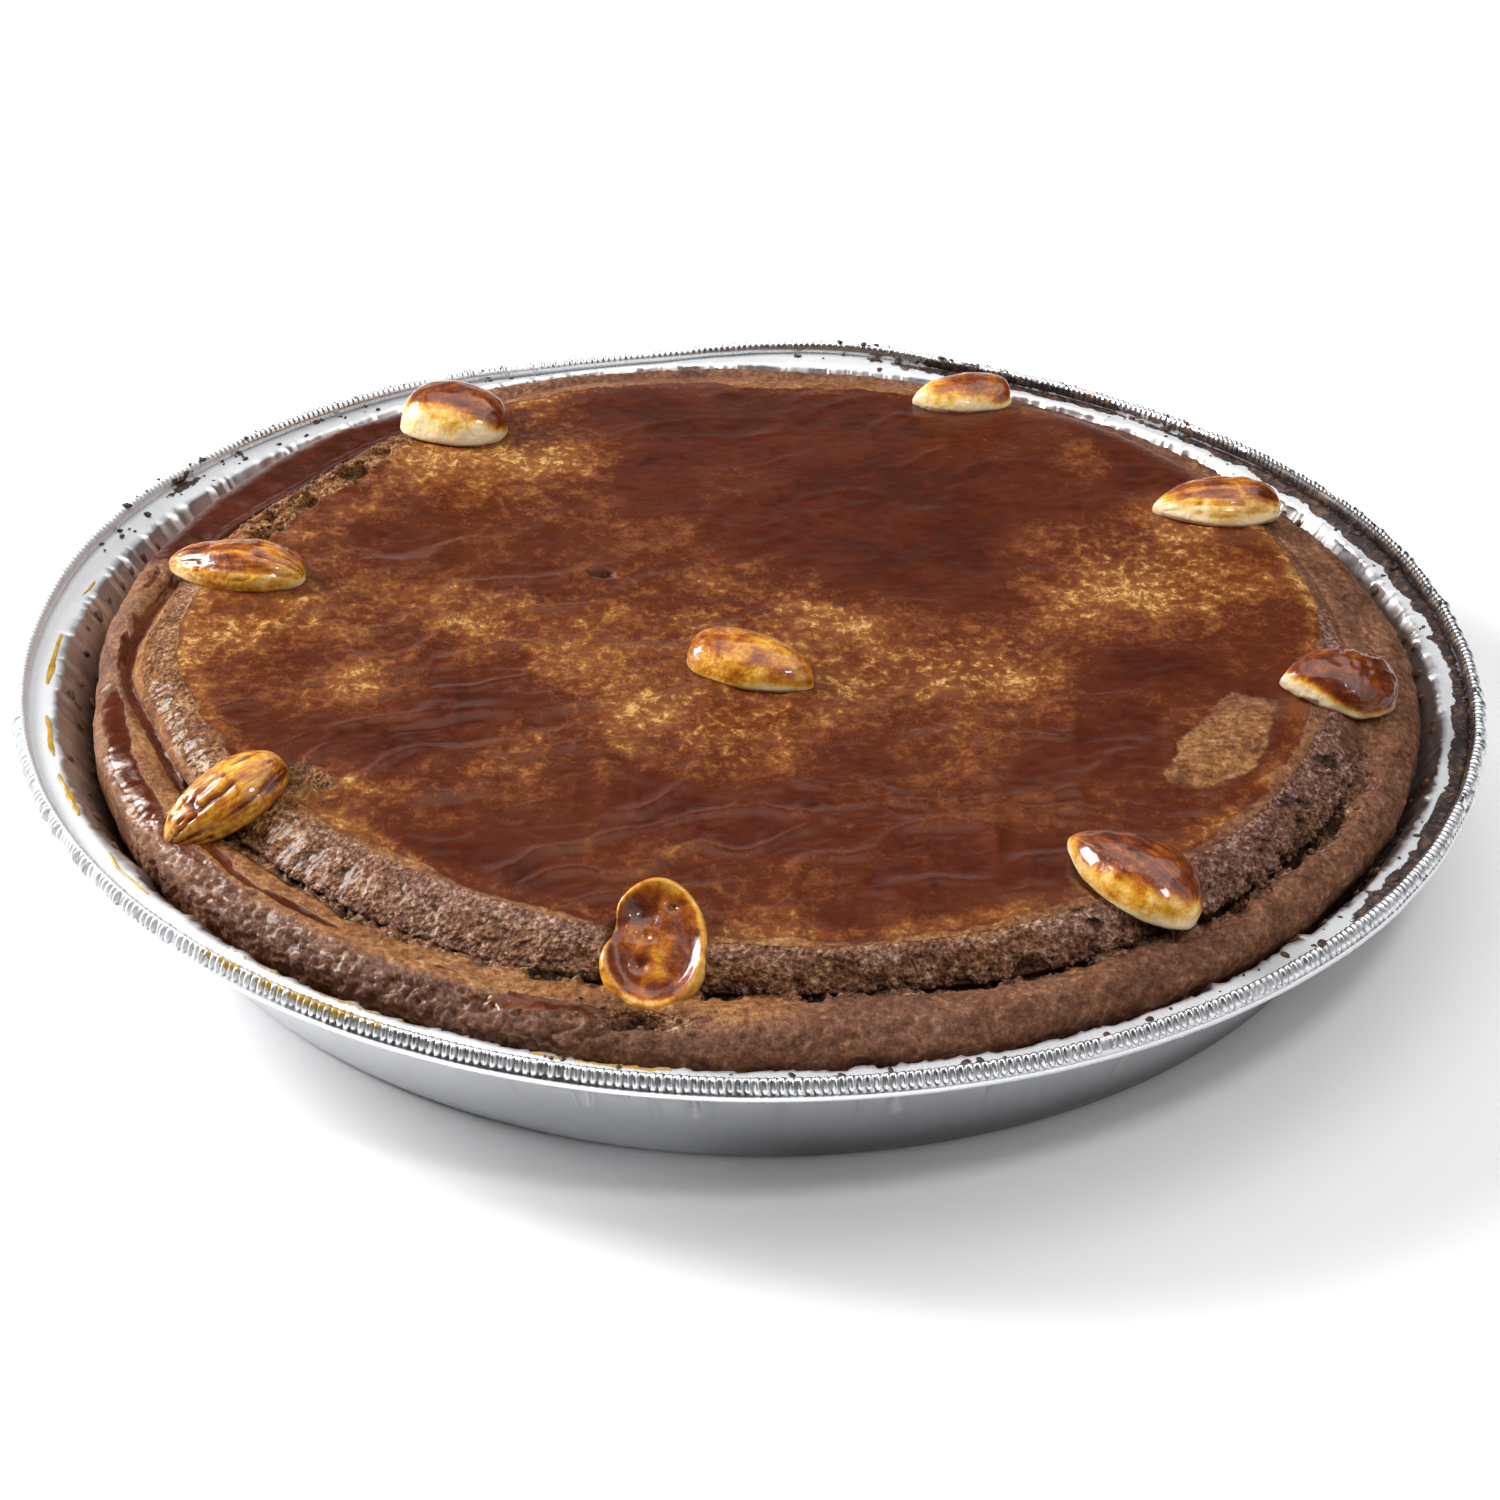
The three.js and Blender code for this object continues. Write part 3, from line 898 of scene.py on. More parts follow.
def lid_skin():
    """Points and faces of the smooth lid, from under its foot up its side and over its top.

    It also gives how far up the side each point lies: 0 at the foot and 1 at the edge.
    """
    level = lambda share, drop: lambda azimuth: (
        LID_SIDE_FOOT + share * (lid_height(azimuth) - LID_SIDE_FOOT) - drop
    )
    controls = [
        (moved_by(lid_foot, -4), SEAM + 0.1),
        (moved_by(lid_foot, -1.6), SEAM + 1.0),
        (moved_by(lid_foot, -0.1), level(0, 0)),
        (part_way(lid_foot, lid_edge, 0.28), level(0.36, 0)),
        (part_way(lid_foot, lid_edge, 0.6), level(0.7, 0)),
        (part_way(lid_foot, lid_edge, 0.9), level(0.95, 0.35)),
        (moved_by(lid_edge, -1.4), level(1, 0.15)),
        (moved_by(lid_edge, -3.4), lambda azimuth: lid_top(lid_edge(azimuth) - 3.4, azimuth)),
    ]
    foot_place, edge_place = 2, 6
    rows = [np.array([[0, 0, SEAM]])]
    rows.append(ring_row(CRUST_POINTS // 4, moved_by(lid_foot, -14), SEAM + 0.1))
    rows.append(ring_row(CRUST_POINTS // 2, moved_by(lid_foot, -6), SEAM + 0.1))
    side_places = np.linspace(0, len(controls) - 1, 34)
    rows += along_profile(controls, CRUST_POINTS, side_places)
    # (how much coarser, shares of the edge's radius from and to, number of rings)
    zones = [(2, 0.955, 0.6, 40), (4, 0.588, 0.3, 28), (8, 0.288, 0.03, 20)]
    for coarser, outer, inner, steps in zones:
        round_ = even_turn(CRUST_POINTS // coarser)
        for share in np.linspace(outer, inner, steps):
            reach = lid_edge(round_) * share
            rows.append(from_polar(reach, round_, lid_top(reach, round_)))
    rows.append(np.array([[0, 0, LID_CENTRE]]))
    points, faces = turned_skin(rows)
    places = [0, 0, 0, *side_places] + [len(controls)] * (len(rows) - 3 - len(side_places))
    place = np.concatenate([np.full(len(row), value) for row, value in zip(rows, places)])
    return points, faces, (place - foot_place) / (edge_place - foot_place)


def make_lid():
    """The lid with its torn side, brushed top, masks for its glaze and painted shade in its hollows.
    """
    points, faces, side = lid_skin()
    radius, azimuth = polar(points)
    shown = ease(side, -0.2, 0)
    is_side = shown * (1 - ease(side, 0.8, 1.1))
    is_top = ease(side, 0.75, 1.0)
    torn = granular_share(azimuth, side) * shown
    crack = crack_share(points) * is_top
    nook = bell(distance_to(points, NOOK), 6) * is_top
    grains = grain_noise(points, 1.05, 31)
    coarse = grain_noise(points, 2.8, 37)
    lumps = rough_noise(points, 6.5, 33, 3)
    pits = ease(rough_noise(points, 4.0, 35, 3), 0.15, 0.45)
    low_band = ease(side, 0.02, 0.15) * (1 - ease(side, 0.4, 0.75))
    right_holes = window(azimuth, -40, 18, 8) * (1 - ease(side, 0.7, 0.95))
    holes = pits * (low_band * 0.35 + right_holes * 0.6) * torn
    crevice = crevice_depth(azimuth) * (1 - ease(side, 0.0, 0.35)) * shown
    rugged = 0.3 + 0.35 * window(azimuth, -160, 30, 12) + 0.3 * right_holes
    outward = torn * (0.85 * (grains - 0.4) + rugged * (coarse - 0.4) - 1.6 * holes) - 1.3 * crevice
    outward += is_side * 0.4 * lumps
    ripples = brush_ripples(points)
    upward = is_top * (0.3 * rough_noise(points, 38, 41, 2) + ripples)
    opened = np.clip(crack + nook, 0, 1)
    crumbling = ease(rough_noise(points, 3.6, 39, 3), 0.05, 0.35)
    upward += opened * (1.5 * (coarse - 0.5) + 0.7 * (grains - 0.5) - 2.2 * crumbling)
    pit = pinhole(points)
    upward -= is_top * 2.2 * pit
    points = pressed_by_nuts(push_out(points, outward, upward))

    inset = lid_edge(azimuth) - radius
    wander = 1.6 * rough_noise(points, 7, 43, 4) * (1 - 0.85 * window(azimuth, 26, 38, 14))
    fringe = 2.0 + 0.4 * window(azimuth, -20, 25, 15) - 3.5 * window(azimuth, 26, 24, 10)
    fringe += 2.5 * window(azimuth, 78, 12, 8) - 1.2 * window(azimuth, -178, 20, 10)
    bare = ease(fringe + wander - inset, -2.0, 2.0) * shown
    patch = bare_patch(points) * is_top
    bare = np.clip(bare + 0.8 * nook + 0.8 * patch, 0, 1)
    # the ripple crests are painted a lighter gold and their hollows darker: painted light and shade
    # on the brush ridges
    gold = gold_at(points) + 0.16 * is_top * (ripples - 0.35)
    gold += 0.35 * bell(inset - fringe - 1.5, 1.8)
    warm = 0.25 + 0.5 * is_top + 0.8 * opened + 0.3 * rough_noise(points, 12, 51, 2)
    warm += 0.5 * window(azimuth, -172, 30, 15) + 0.3 * low_band + 0.1 * patch + 0.5 * nook
    warm -= 0.4 * window(azimuth, 22, 34, 14) + 0.4 * (1 - patch) * window(azimuth, -34, 22, 10)
    dots = ease(rough_noise(points, 1.2, 53, 2), 0.12, 0.4)
    # deep is painted shade: dark colour in the holes, the crack and the nook, the gaps between
    # grains, the pinhole and the crevice; on the bare patch it also paints dark dots
    deep = holes * 0.85 + 0.75 * opened * crumbling + 0.12 * torn * (1 - ease(grains, 0.2, 0.6))
    deep += 0.9 * pit * is_top + 0.6 * crevice + 0.4 * patch * dots
    mesh = mesh_from("upper_crust_baked", points, faces)
    store(
        mesh,
        torn=np.clip(torn + opened, 0, 1),
        bare=bare,
        # the pinhole's glaze also loses its gold: painted shade in the hole
        gold=np.clip(gold - 1.2 * pit, 0, 1),
        warmth=np.clip(warm, 0, 1),
        gloss=0.8 * torn * window(azimuth, -146, 44, 15),
        deep=np.clip(deep, 0, 0.92),
    )
    return add_piece("upper_crust_baked", mesh, LID_FINISH, "glazed_crust", "upper_crust")


# ---- ring ----------------------------------------
HOLE_DEGREES = -97  # azimuth of the hole torn in the ring at the front
MM_PER_DEGREE = 1.94  # along the ring


def wall_radius(height):
    """Radius of the tin's sloping wall at a height above the table."""
    return BASE_RADIUS + (MOUTH_RADIUS - BASE_RADIUS) * height / FLANGE_HEIGHT


def merged(azimuth):
    """Where the ring rises smoothly into the lid's side, with no groove between them."""
    return window(azimuth, 28, 36, 16)


def ring_skin(crest):
    """Points and faces of the smooth ring, from the tin's base over its crest to under the lid."""
    hug = lambda height: lambda azimuth: np.minimum(
        ring_radius(azimuth) - 0.2, wall_radius(height) - 1.5
    )
    level = lambda drop, rise=0, gap=0: lambda azimuth: (
        ring_height(azimuth) - drop + rise * merged(azimuth) - gap * crevice_depth(azimuth)
    )
    controls = [(hug(height), height) for height in (18, 22, 25)]
    controls += [
        (moved_by(ring_radius, -0.3), 27.2),
        (moved_by(ring_radius, -1.9), level(1.1)),
        (crest, level(0)),
        (part_way(lid_foot, crest, 0.62), level(0.15, 0.35)),
        (part_way(lid_foot, crest, 0.3), level(0.6, 1.15)),
        (part_way(lid_foot, crest, 0.1), level(0.7, 1.5, 0.9)),
        (
            lambda azimuth: lid_foot(azimuth) - 1.0 - 2.4 * merged(azimuth),
            lambda azimuth: 29.0 + 2.6 * merged(azimuth) - 2.0 * crevice_depth(azimuth),
        ),
        (moved_by(lid_foot, -4), UNDER_LID),
    ]
    quarter, half = CRUST_POINTS // 4, CRUST_POINTS // 2
    rows = [np.array([[BASE_CENTRE.x / MM, 0, FLOOR]])]
    rows += [ring_row(quarter, 100, FLOOR), ring_row(quarter, 103.5, FLOOR + 0.6)]
    rows += [ring_row(quarter, hug(8), 8), ring_row(half, hug(14), 14)]
    rows += along_profile(controls, CRUST_POINTS, np.linspace(0, len(controls) - 1, 54))
    rows.append(ring_row(half, moved_by(lid_foot, -6), UNDER_LID))
    rows.append(ring_row(quarter, moved_by(lid_foot, -14), UNDER_LID))
    rows.append(np.array([[0, 0, UNDER_LID]]))
    return turned_skin(rows)


def make_ring():
    """The crust ring with its sandy relief, pools of glaze, torn places and painted shade in its
    hollows.
    """
    crest = moved_by(ring_radius, -4.2)
    points, faces = ring_skin(crest)
    radius, azimuth = polar(points)
    height = points[:, 2]
    high = ease(height, 26.2, 28)
    from_foot = radius - lid_foot(azimuth)
    from_crest = radius - crest(azimuth)
    seen = ease(height, 14, 18) * ease(radius, lid_foot(azimuth) - 3, lid_foot(azimuth) - 1)
    ragged = rough_noise(points, 5, 89, 3)
    front = window(azimuth, -85, 62, 8)
    near_seam = (1 - ease(from_foot + 1.1 * ragged, 0.4, 2.4)) * front
    spread = from_foot / (crest(azimuth) - lid_foot(azimuth))
    left = window(azimuth, -162, 26, 12)
    front_left = window(azimuth, -124, 30, 12)
    on_crest = bell(from_crest - 1.8, 2.2) * high
    inner_shelf = (1 - ease(spread, 0.75, 1.05)) * high
    back_left = window(azimuth, 148, 18, 8)
    along_flow = np.stack([azimuth * 26, radius, 0.3 * height], axis=1)
    pools = ease(rough_noise(along_flow, 3.4, 87, 3), 0.0, 0.35) * window(azimuth, -142, 44, 10)
    pools *= bell(spread - 0.78, 0.24) * high
    long_pool = window(azimuth, -157, 7, 6) * bell(from_crest - 0.8 - 0.8 * ragged, 2)
    pools = np.maximum(pools, long_pool * high)
    groove = bell(from_foot - 0.8, 1.1) * left * high
    beside_hole = (apart(azimuth, HOLE_DEGREES) * MM_PER_DEGREE / 8) ** 4
    hole = np.exp(-beside_hole - ((radius - 111.6 - 0.8 * ragged) / 2.3) ** 2) * high
    tears = window(azimuth, -36, 14, 8) * bell(radius - 109.8, 2.8) * high
    tears *= ease(rough_noise(points, 5, 71, 3), -0.1, 0.25)
    grains = grain_noise(points, 1.8, 73)
    fine = grain_noise(points, 1.0, 74)
    lumps = grain_noise(points, 3.6, 76)
    pits = ease(rough_noise(points, 3.6, 75, 3), 0.1, 0.4)
    wrinkles = 1 - np.abs(rough_noise(points * (1, 1, 0.6), 3.4, 77, 3))
    torn = np.clip(near_seam + 1.2 * hole + tears, 0, 1) * seen
    swell = 1.1 * rough_noise(points, 24, 79, 2) + 0.75 * rough_noise(points, 8, 81, 3)
    glossy = window(azimuth, -142, 32, 14)
    skin = (wrinkles - 0.75) * (0.25 + 0.4 * glossy * on_crest + 0.1 * left)
    smooth = np.clip(back_left * high + 0.8 * pools + 0.7 * front_left * inner_shelf, 0, 1)
    rough_part = window(azimuth, -128, 24, 10)
    sandy = rough_part * (0.25 * (grains - 0.5) + 0.95 * (fine - 0.5)) + 0.3 * (fine - 0.5)
    sandy = (sandy + 0.4 * rough_noise(points, 1.7, 97, 2)) * (1 - 0.85 * smooth)
    sandy *= 1 - 0.7 * window(azimuth, -166, 15, 8)
    outward = seen * (0.6 * swell + 0.6 * skin + sandy) * (1 - 0.4 * high)
    upward = seen * high * (0.35 * swell + 0.5 * skin * (1 - smooth) + sandy)
    upward += torn * (1.3 * (lumps - 0.5) + 0.5 * (grains - 0.5) - 1.5 * pits)
    upward -= 0.7 * groove + 2.8 * hole + 1.2 * tears + 0.35 * pools
    points = pressed_by_nuts(push_out(points, outward, upward))
    patches = ease(rough_noise(along_flow * (1, 0.7, 1), 7, 95, 3), -0.1, 0.25)
    patches *= window(azimuth, -132, 26, 8) * seen * (1 - 0.9 * front_left * inner_shelf)
    glazed = np.clip(1.2 * pools + 0.9 * groove + 0.95 * back_left * high + 0.5 * patches, 0, 1)
    warm = 0.14 + 1.1 * front_left * inner_shelf + 0.36 * left + 0.35 * tears + 0.3 * near_seam
    warm += 0.25 * rough_noise(points, 10, 85, 2)
    wet = 1.1 * on_crest * glossy + 0.6 * glossy * ease(height, 21, 24) + 1.4 * pools
    wet *= 0.45 + 0.8 * ease(rough_noise(points, 4, 83, 3), -0.2, 0.2)
    wet *= 1 - 0.6 * rough_part * (1 - smooth) * (1 - ease(fine, 0.35, 0.6))
    # deep is painted shade: darker colour in the gaps between grains, in torn pits, in the hole,
    # between lumps by the seam and along the front where the ring meets the lid
    deep = 0.3 * rough_part * (1 - smooth) * seen * (1 - ease(fine, 0.15, 0.45))
    deep += torn * pits * 0.75 + hole * (0.25 + 0.5 * pits) + 0.4 * near_seam * (1 - lumps)
    deep += 0.9 * seen * (1 - ease(from_foot, -1.2, 0.2)) * front
    mesh = mesh_from("lower_crust_baked", points, faces)
    store(
        mesh,
        torn=torn,
        bare=1 - glazed,
        gold=np.clip(0.34 - 0.3 * groove - 0.3 * back_left - 0.25 * pools, 0, 1),
        warmth=np.clip(warm, 0, 1),
        gloss=np.clip(wet + 0.6 * back_left * high + 0.5 * groove, 0, 1),
        deep=np.clip(deep, 0, 0.92),
    )
    return add_piece("lower_crust_baked", mesh, RING_FINISH, "crust", "lower_crust")


# ---- almonds ----------------------------------------
NUT_EDGE = 2.2  # height of a nut's widest line above its underside
WIDEST = 0.42  # share of its length from the blunt end to its widest place
NUT_PITS = [(4.6, 1.6, 2.0), (1.4, 1.6, 1.0), (-3.2, 2.0, 1.1), (6.2, -2.2, 0.6)]  # x, y, size


def nut_outline(along, square, pointed):
    """Half width, 0 to 1, of a nut from its blunt end (0) to its tip (1)."""
    blunt = np.clip((WIDEST - along) / WIDEST, 0, 1)
    sharp = np.clip((along - WIDEST) / (1 - WIDEST), 0, 1)
    power = np.where(along < WIDEST, square, pointed)
    return np.clip(1 - np.maximum(blunt, sharp) ** 2, 0, 1) ** power


def add_skin_map(mesh, along, round_):
    """Lays a nut's skin out flat, its length along U, so that its streaks run lengthwise."""
    sheet = mesh.uv_layers.new(name="skin")
    corners = np.empty(len(mesh.loops), int)
    mesh.loops.foreach_get("vertex_index", corners)
    u = np.concatenate([[0], along, [1]])
    v = np.concatenate([[0.25], np.abs(np.mod(round_ / TURN + 0.25, 1) - 0.5), [0.25]])
    sheet.data.foreach_set("uv", np.stack([u[corners], v[corners]], axis=1).ravel())


def make_nut(node):
    """A roasted almond in its packed place, one skin of rings from its blunt end to its tip."""
    look = {**PLAIN_NUT, **NUT_LOOKS[node]}
    seed = 100 + 7 * NUTS.index(node)
    middle, axes, low, high = NUT_AXES[node]
    length, width, height = high - low
    stations, spokes = 84, 72
    steps = (1 - np.cos(np.pi * np.arange(1, stations) / stations)) / 2
    turn = np.arange(spokes) * TURN / spokes
    along, round_ = (grid.ravel() for grid in np.meshgrid(steps, turn, indexing="ij"))
    hollow = look["hollow"]
    reach = nut_outline(along, look["square"], 0.5 if hollow else look["pointed"])
    up, side = np.sin(round_), np.cos(round_)
    fullness, flatness = (0.4, 0.6) if hollow else (0.7, 0.95)
    domed = NUT_EDGE + (height - NUT_EDGE) * reach**fullness * np.abs(up) ** flatness
    flat_under = NUT_EDGE * (1 - np.abs(up) ** 1.5 * reach**0.3)
    z = np.where(up > 0, domed, flat_under)
    y = width / 2 * reach * np.sign(side) * np.abs(side) ** np.where(up > 0, 0.9, 0.55)
    lengthwise = 2 * along - 1
    y = y + look["bow"] * (1 - lengthwise**2) + look["lean"] * np.clip(up, 0, 1) * reach
    if hollow:
        y = np.where(y > 0, y * (1 - 0.2 * bell(along - 0.62, 0.15)), y)
    x = (along - 0.5) * length
    across = y / (width / 2)
    local = np.stack([x, y, z], axis=1)
    face = np.clip(1.1 - (across**2 * 1.25 + lengthwise**2 * 1.2), 0, 1) * (up > 0)
    local[:, 2] -= hollow * ease(face, 0, 0.6)
    if hollow:
        for *spot, size in NUT_PITS:
            near = distance_to(local, spot) / size
            local[:, 2] -= 0.75 * np.exp(-(near**4)) * (up > 0)
    lumps = rough_noise(local + seed * 3.1, 8, seed, 3)
    round_axis = np.arctan2(local[:, 2] - 1, local[:, 1])
    line = np.stack([local[:, 0] * 0.1, round_axis * 6, 0 * x], axis=1)
    ribs = np.abs(soft_noise(line + seed, 1.0, seed + 3))
    groove = (1 - ease(ribs, 0, 0.3)) * ease(up, -0.1, 0.3)
    fine = rough_noise(local * (0.7, 1, 1) + seed, 2.4, seed + 5, 3)
    bend = 0.45 * lumps + look["lumpy"] * fine - look["grooves"] * groove
    outward = np.stack([0 * y, side * 0.6, up], axis=1)
    local += outward * (bend * ease(reach, 0.1, 0.5))[:, None]
    ends = np.array([[-length / 2, 0, NUT_EDGE], [length / 2, 0, NUT_EDGE]])
    local = np.concatenate([ends[:1], local, ends[1:]])
    placed = middle + (local + [*((low + high) / 2)[:2], low[2]]) @ axes.T
    rows = [placed[:1]]
    rows += [placed[1 + row * spokes : 1 + (row + 1) * spokes] for row in range(stations - 1)]
    rows.append(placed[-1:])
    points, faces = turned_skin(rows)
    mesh = mesh_from(f"{node}_roasted", points, [face[::-1] for face in faces])

    padded = lambda values: np.concatenate([[0], values, [0]])
    top = np.clip((local[:, 2] - NUT_EDGE) / (height - NUT_EDGE), -1, 1)
    flat_off = (points - middle) / (length / 2)
    towards = np.array(look["brown_towards"])
    facing = flat_off[:, :2] @ towards[:2] + top * towards[2] + 0.25 * padded(lumps)
    browned = ease(facing, look["edge"], look["edge"] + 0.5)
    rim = ease(top + 0.25 * padded(lumps), look["cream"] - 0.12, look["cream"] + 0.2)
    if hollow:
        dish = ease(face + 0.2 * lumps, 0.05, 0.3)
        browned = padded(dish * (1 - 0.85 * ease(along, 0.8, 0.95)) + 0.2 * ease(up, 0, 0.3))
        heart = np.exp(-(((local[:, 0] + 2.4) / 3.4) ** 2) - ((local[:, 1] + 1.0) / 1.7) ** 2)
        browned = browned - 0.85 * heart
        rim = padded(ease(up, -0.35, 0.0))
    roast = look["base"] + (look["brown"] - look["base"]) * browned
    roast = roast * rim + 0.55 * padded(groove) * min(look["grooves"], 1)
    streaks = look["streaks"] * (0.3 + 0.7 * browned) * rim * 0.6
    store(mesh, roast=np.clip(roast, 0, 1), streaks=streaks, blotches=0.2 + rim)
    add_skin_map(mesh, along, round_)
    return add_piece(f"{node}_roasted", mesh, NUT_FINISH, "almond", node)


# ---- Geometry Nodes ----------------------------------------
def nodes_tree(name, **inputs):
    """An empty Geometry Nodes tree that takes and gives a geometry, with more named inputs."""
    tree = bpy.data.node_groups.new(name, "GeometryNodeTree")
    tree.interface.new_socket("Geometry", in_out="INPUT", socket_type="NodeSocketGeometry")
    for socket, kind in inputs.items():
        tree.interface.new_socket(socket, in_out="INPUT", socket_type=kind)
    tree.interface.new_socket("Geometry", in_out="OUTPUT", socket_type="NodeSocketGeometry")
    given = tree.nodes.new("NodeGroupInput").outputs
    return tree, given, tree.nodes.new("NodeGroupOutput").inputs[0]


def baked(mesh, tree, **values):
    """The plain mesh that a Geometry Nodes tree makes of a mesh."""
    holder = bpy.data.objects.new("holder", mesh)
    bpy.context.scene.collection.objects.link(holder)
    modifier = holder.modifiers.new("nodes", "NODES")
    modifier.node_group = tree
    sockets = {item.name: item for item in tree.interface.items_tree if item.in_out == "INPUT"}
    for name, value in values.items():
        modifier[sockets[name].identifier] = value
    evaluated = holder.evaluated_get(bpy.context.evaluated_depsgraph_get())
    result = bpy.data.meshes.new_from_object(evaluated)
    bpy.data.objects.remove(holder)
    return result


def outward_way(tree):
    """The level direction away from the axis, and the azimuth, of each point."""
    here = tree.nodes.new("GeometryNodeInputPosition").outputs[0]
    level = put(tree, "ShaderNodeVectorMath", here, (1, 1, 0), operation="MULTIPLY").outputs[0]
    way = put(tree, "ShaderNodeVectorMath", level, operation="NORMALIZE").outputs[0]
    spot = put(tree, "ShaderNodeSeparateXYZ", here).outputs
    return way, calc(tree, "ARCTAN2", spot[1], spot[0])


def named_value(tree, name, data_type="FLOAT"):
    return put(tree, "GeometryNodeInputNamedAttribute", name, data_type=data_type).outputs[0]


def shifted(tree, geometry, way, amount):
    offset = put(tree, "ShaderNodeVectorMath", way, operation="SCALE", named={"Scale": amount})
    named = {"Offset": offset.outputs[0]}
    return put(tree, "GeometryNodeSetPosition", geometry, named=named).outputs[0]


def finished(tree, geometry, material, result):
    """Gives the geometry its material and hands it out of the tree."""
    named = {"Material": material}
    tree.links.new(put(tree, "GeometryNodeSetMaterial", geometry, named=named).outputs[0], result)
    return tree


def round_line(tree, azimuth, length):
    """Places along a line, so that noise on them runs round the circle."""
    return put(tree, "ShaderNodeCombineXYZ", times(tree, azimuth, length)).outputs[0]


def pleat_tree():
    """Uneven upright pleats, pressed inwards where the mesh's "pleated" attribute allows."""
    tree, given, result = nodes_tree("pleated foil", Pleats=FLOAT, Depth=FLOAT, Foil=MATERIAL)
    way, azimuth = outward_way(tree)
    uneven = times(tree, noise(tree, round_line(tree, azimuth, 9.0), 1.0, 3), 7.0)
    turn = calc(tree, "DIVIDE", azimuth, TURN)
    phase = plus(tree, times(tree, turn, given["Pleats"]), uneven)
    share = calc(tree, "FRACT", phase)
    rank = put(tree, "ShaderNodeTexWhiteNoise", noise_dimensions="1D")
    tree.links.new(calc(tree, "FLOOR", phase), rank.inputs["W"])
    slow_rise = calc(tree, "POWER", share, 1.6)
    sharp_fall = between(tree, share, 0.9, 1.0, 1.0, 0.0)
    deep = calc(tree, "MULTIPLY_ADD", rank.outputs["Value"], 0.8, 0.4)
    amount = times(tree, slow_rise, sharp_fall, deep, given["Depth"])
    amount = times(tree, amount, named_value(tree, "pleated"), -1.0)
    moved = shifted(tree, given["Geometry"], way, amount)
    return finished(tree, moved, given["Foil"], result)


def crimp_tree():
    """Copies of one crimp round a circle, joined into a bead and made uneven."""
    tree, given, result = nodes_tree(
        "crimped bead", Crimps=WHOLE, Radius=FLOAT, Unevenness=FLOAT, Foil=MATERIAL
    )
    circle = put(tree, "GeometryNodeCurvePrimitiveCircle", given["Crimps"], mode="RADIUS")
    tree.links.new(given["Radius"], circle.inputs["Radius"])
    _, azimuth = outward_way(tree)
    facing = put(tree, "ShaderNodeCombineXYZ", 0.0, 0.0, azimuth).outputs[0]
    named = {"Points": circle.outputs["Curve"], "Instance": given["Geometry"], "Rotation": facing}
    copies = put(tree, "GeometryNodeInstanceOnPoints", named=named).outputs[0]
    real = put(tree, "GeometryNodeRealizeInstances", copies).outputs[0]
    whole = put(tree, "GeometryNodeMergeByDistance", real, named={"Distance": 0.00002}).outputs[0]
    way, azimuth = outward_way(tree)
    round_ = round_line(tree, azimuth, FLANGE_RADIUS)
    uneven = noise(tree, round_, 0.55, 3, 0.8)
    plain = between(tree, noise(tree, round_, 0.11, 3, 0.6), 0.34, 0.5)
    height = calc(tree, "MULTIPLY_ADD", uneven, 5.0, -1.7)
    amount = times(tree, height, plain, given["Unevenness"])
    moved = shifted(tree, whole, way, times(tree, amount, named_value(tree, "ridge")))
    moved = shifted(tree, moved, (0, 0, 1), times(tree, amount, named_value(tree, "rise")))
    return finished(tree, moved, given["Foil"], result)


def strewn_tree():
    """A lumpy little ball on every point, turned and sized by the point's own attributes."""
    tree, given, result = nodes_tree(
        "strewn bits", Proportions=VECTOR, Roundness=WHOLE, Lumpiness=FLOAT, Finish=MATERIAL
    )
    ball = put(tree, "GeometryNodeMeshIcoSphere", 1.0, given["Roundness"]).outputs[0]
    named = {"Points": given["Geometry"], "Instance": ball}
    named["Rotation"] = named_value(tree, "turn", "FLOAT_VECTOR")
    size = named_value(tree, "size")
    scaled = put(tree, "ShaderNodeVectorMath", given["Proportions"], operation="SCALE")
    tree.links.new(size, scaled.inputs["Scale"])
    named["Scale"] = scaled.outputs[0]
    copies = put(tree, "GeometryNodeInstanceOnPoints", named=named).outputs[0]
    real = put(tree, "GeometryNodeRealizeInstances", copies).outputs[0]
    here = tree.nodes.new("GeometryNodeInputPosition").outputs[0]
    bumps = put(tree, "ShaderNodeTexNoise", named={"Vector": here, "Scale": 1400.0})
    centred = [bumps.outputs["Color"], (0.5, 0.5, 0.5)]
    centred = put(tree, "ShaderNodeVectorMath", *centred, operation="SUBTRACT").outputs[0]
    moved = shifted(tree, real, centred, given["Lumpiness"])
    return finished(tree, moved, given["Finish"], result)


# ---- foil tin ----------------------------------------
STRIP_RADIUS = 120  # how many millimetres of unrolled rim one radian gives
BEAD_WIDTH = 2.1
FOIL = 0.3
FOIL_POINTS = 1680  # points round the tin's wall
CRIMPS = 640
PLEATS = 150.0
PLEAT_DEPTH = 0.0007


def bent_to_rim(points):
    """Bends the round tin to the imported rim: out of round, and its bead out of level."""
    radius, azimuth = polar(points)
    wall = np.clip(points[:, 2] / FLANGE_HEIGHT, 0, 1)
    spread = ease(radius, MOUTH_RADIUS, FLANGE_RADIUS)
    reach = (mouth_radius(azimuth) - MOUTH_RADIUS) * wall * (1 - spread)
    reach += (rim_radius(azimuth) - FLANGE_RADIUS) * spread
    outwards = ease(radius, MOUTH_RADIUS, FLANGE_RADIUS - BEAD_WIDTH)
    lift = (rim_crest(azimuth) - BEAD_CREST) * outwards
    moved = push_out(points, reach, lift)
    moved[:, 0] += BASE_CENTRE.x / MM * (1 - wall)
    return moved


def along_rim(azimuth, across=0):
    """Points on a strip unrolled from round the rim, so that noise on them follows the rim."""
    return np.stack([azimuth * STRIP_RADIUS, across + 0 * azimuth, 0 * azimuth], axis=1)


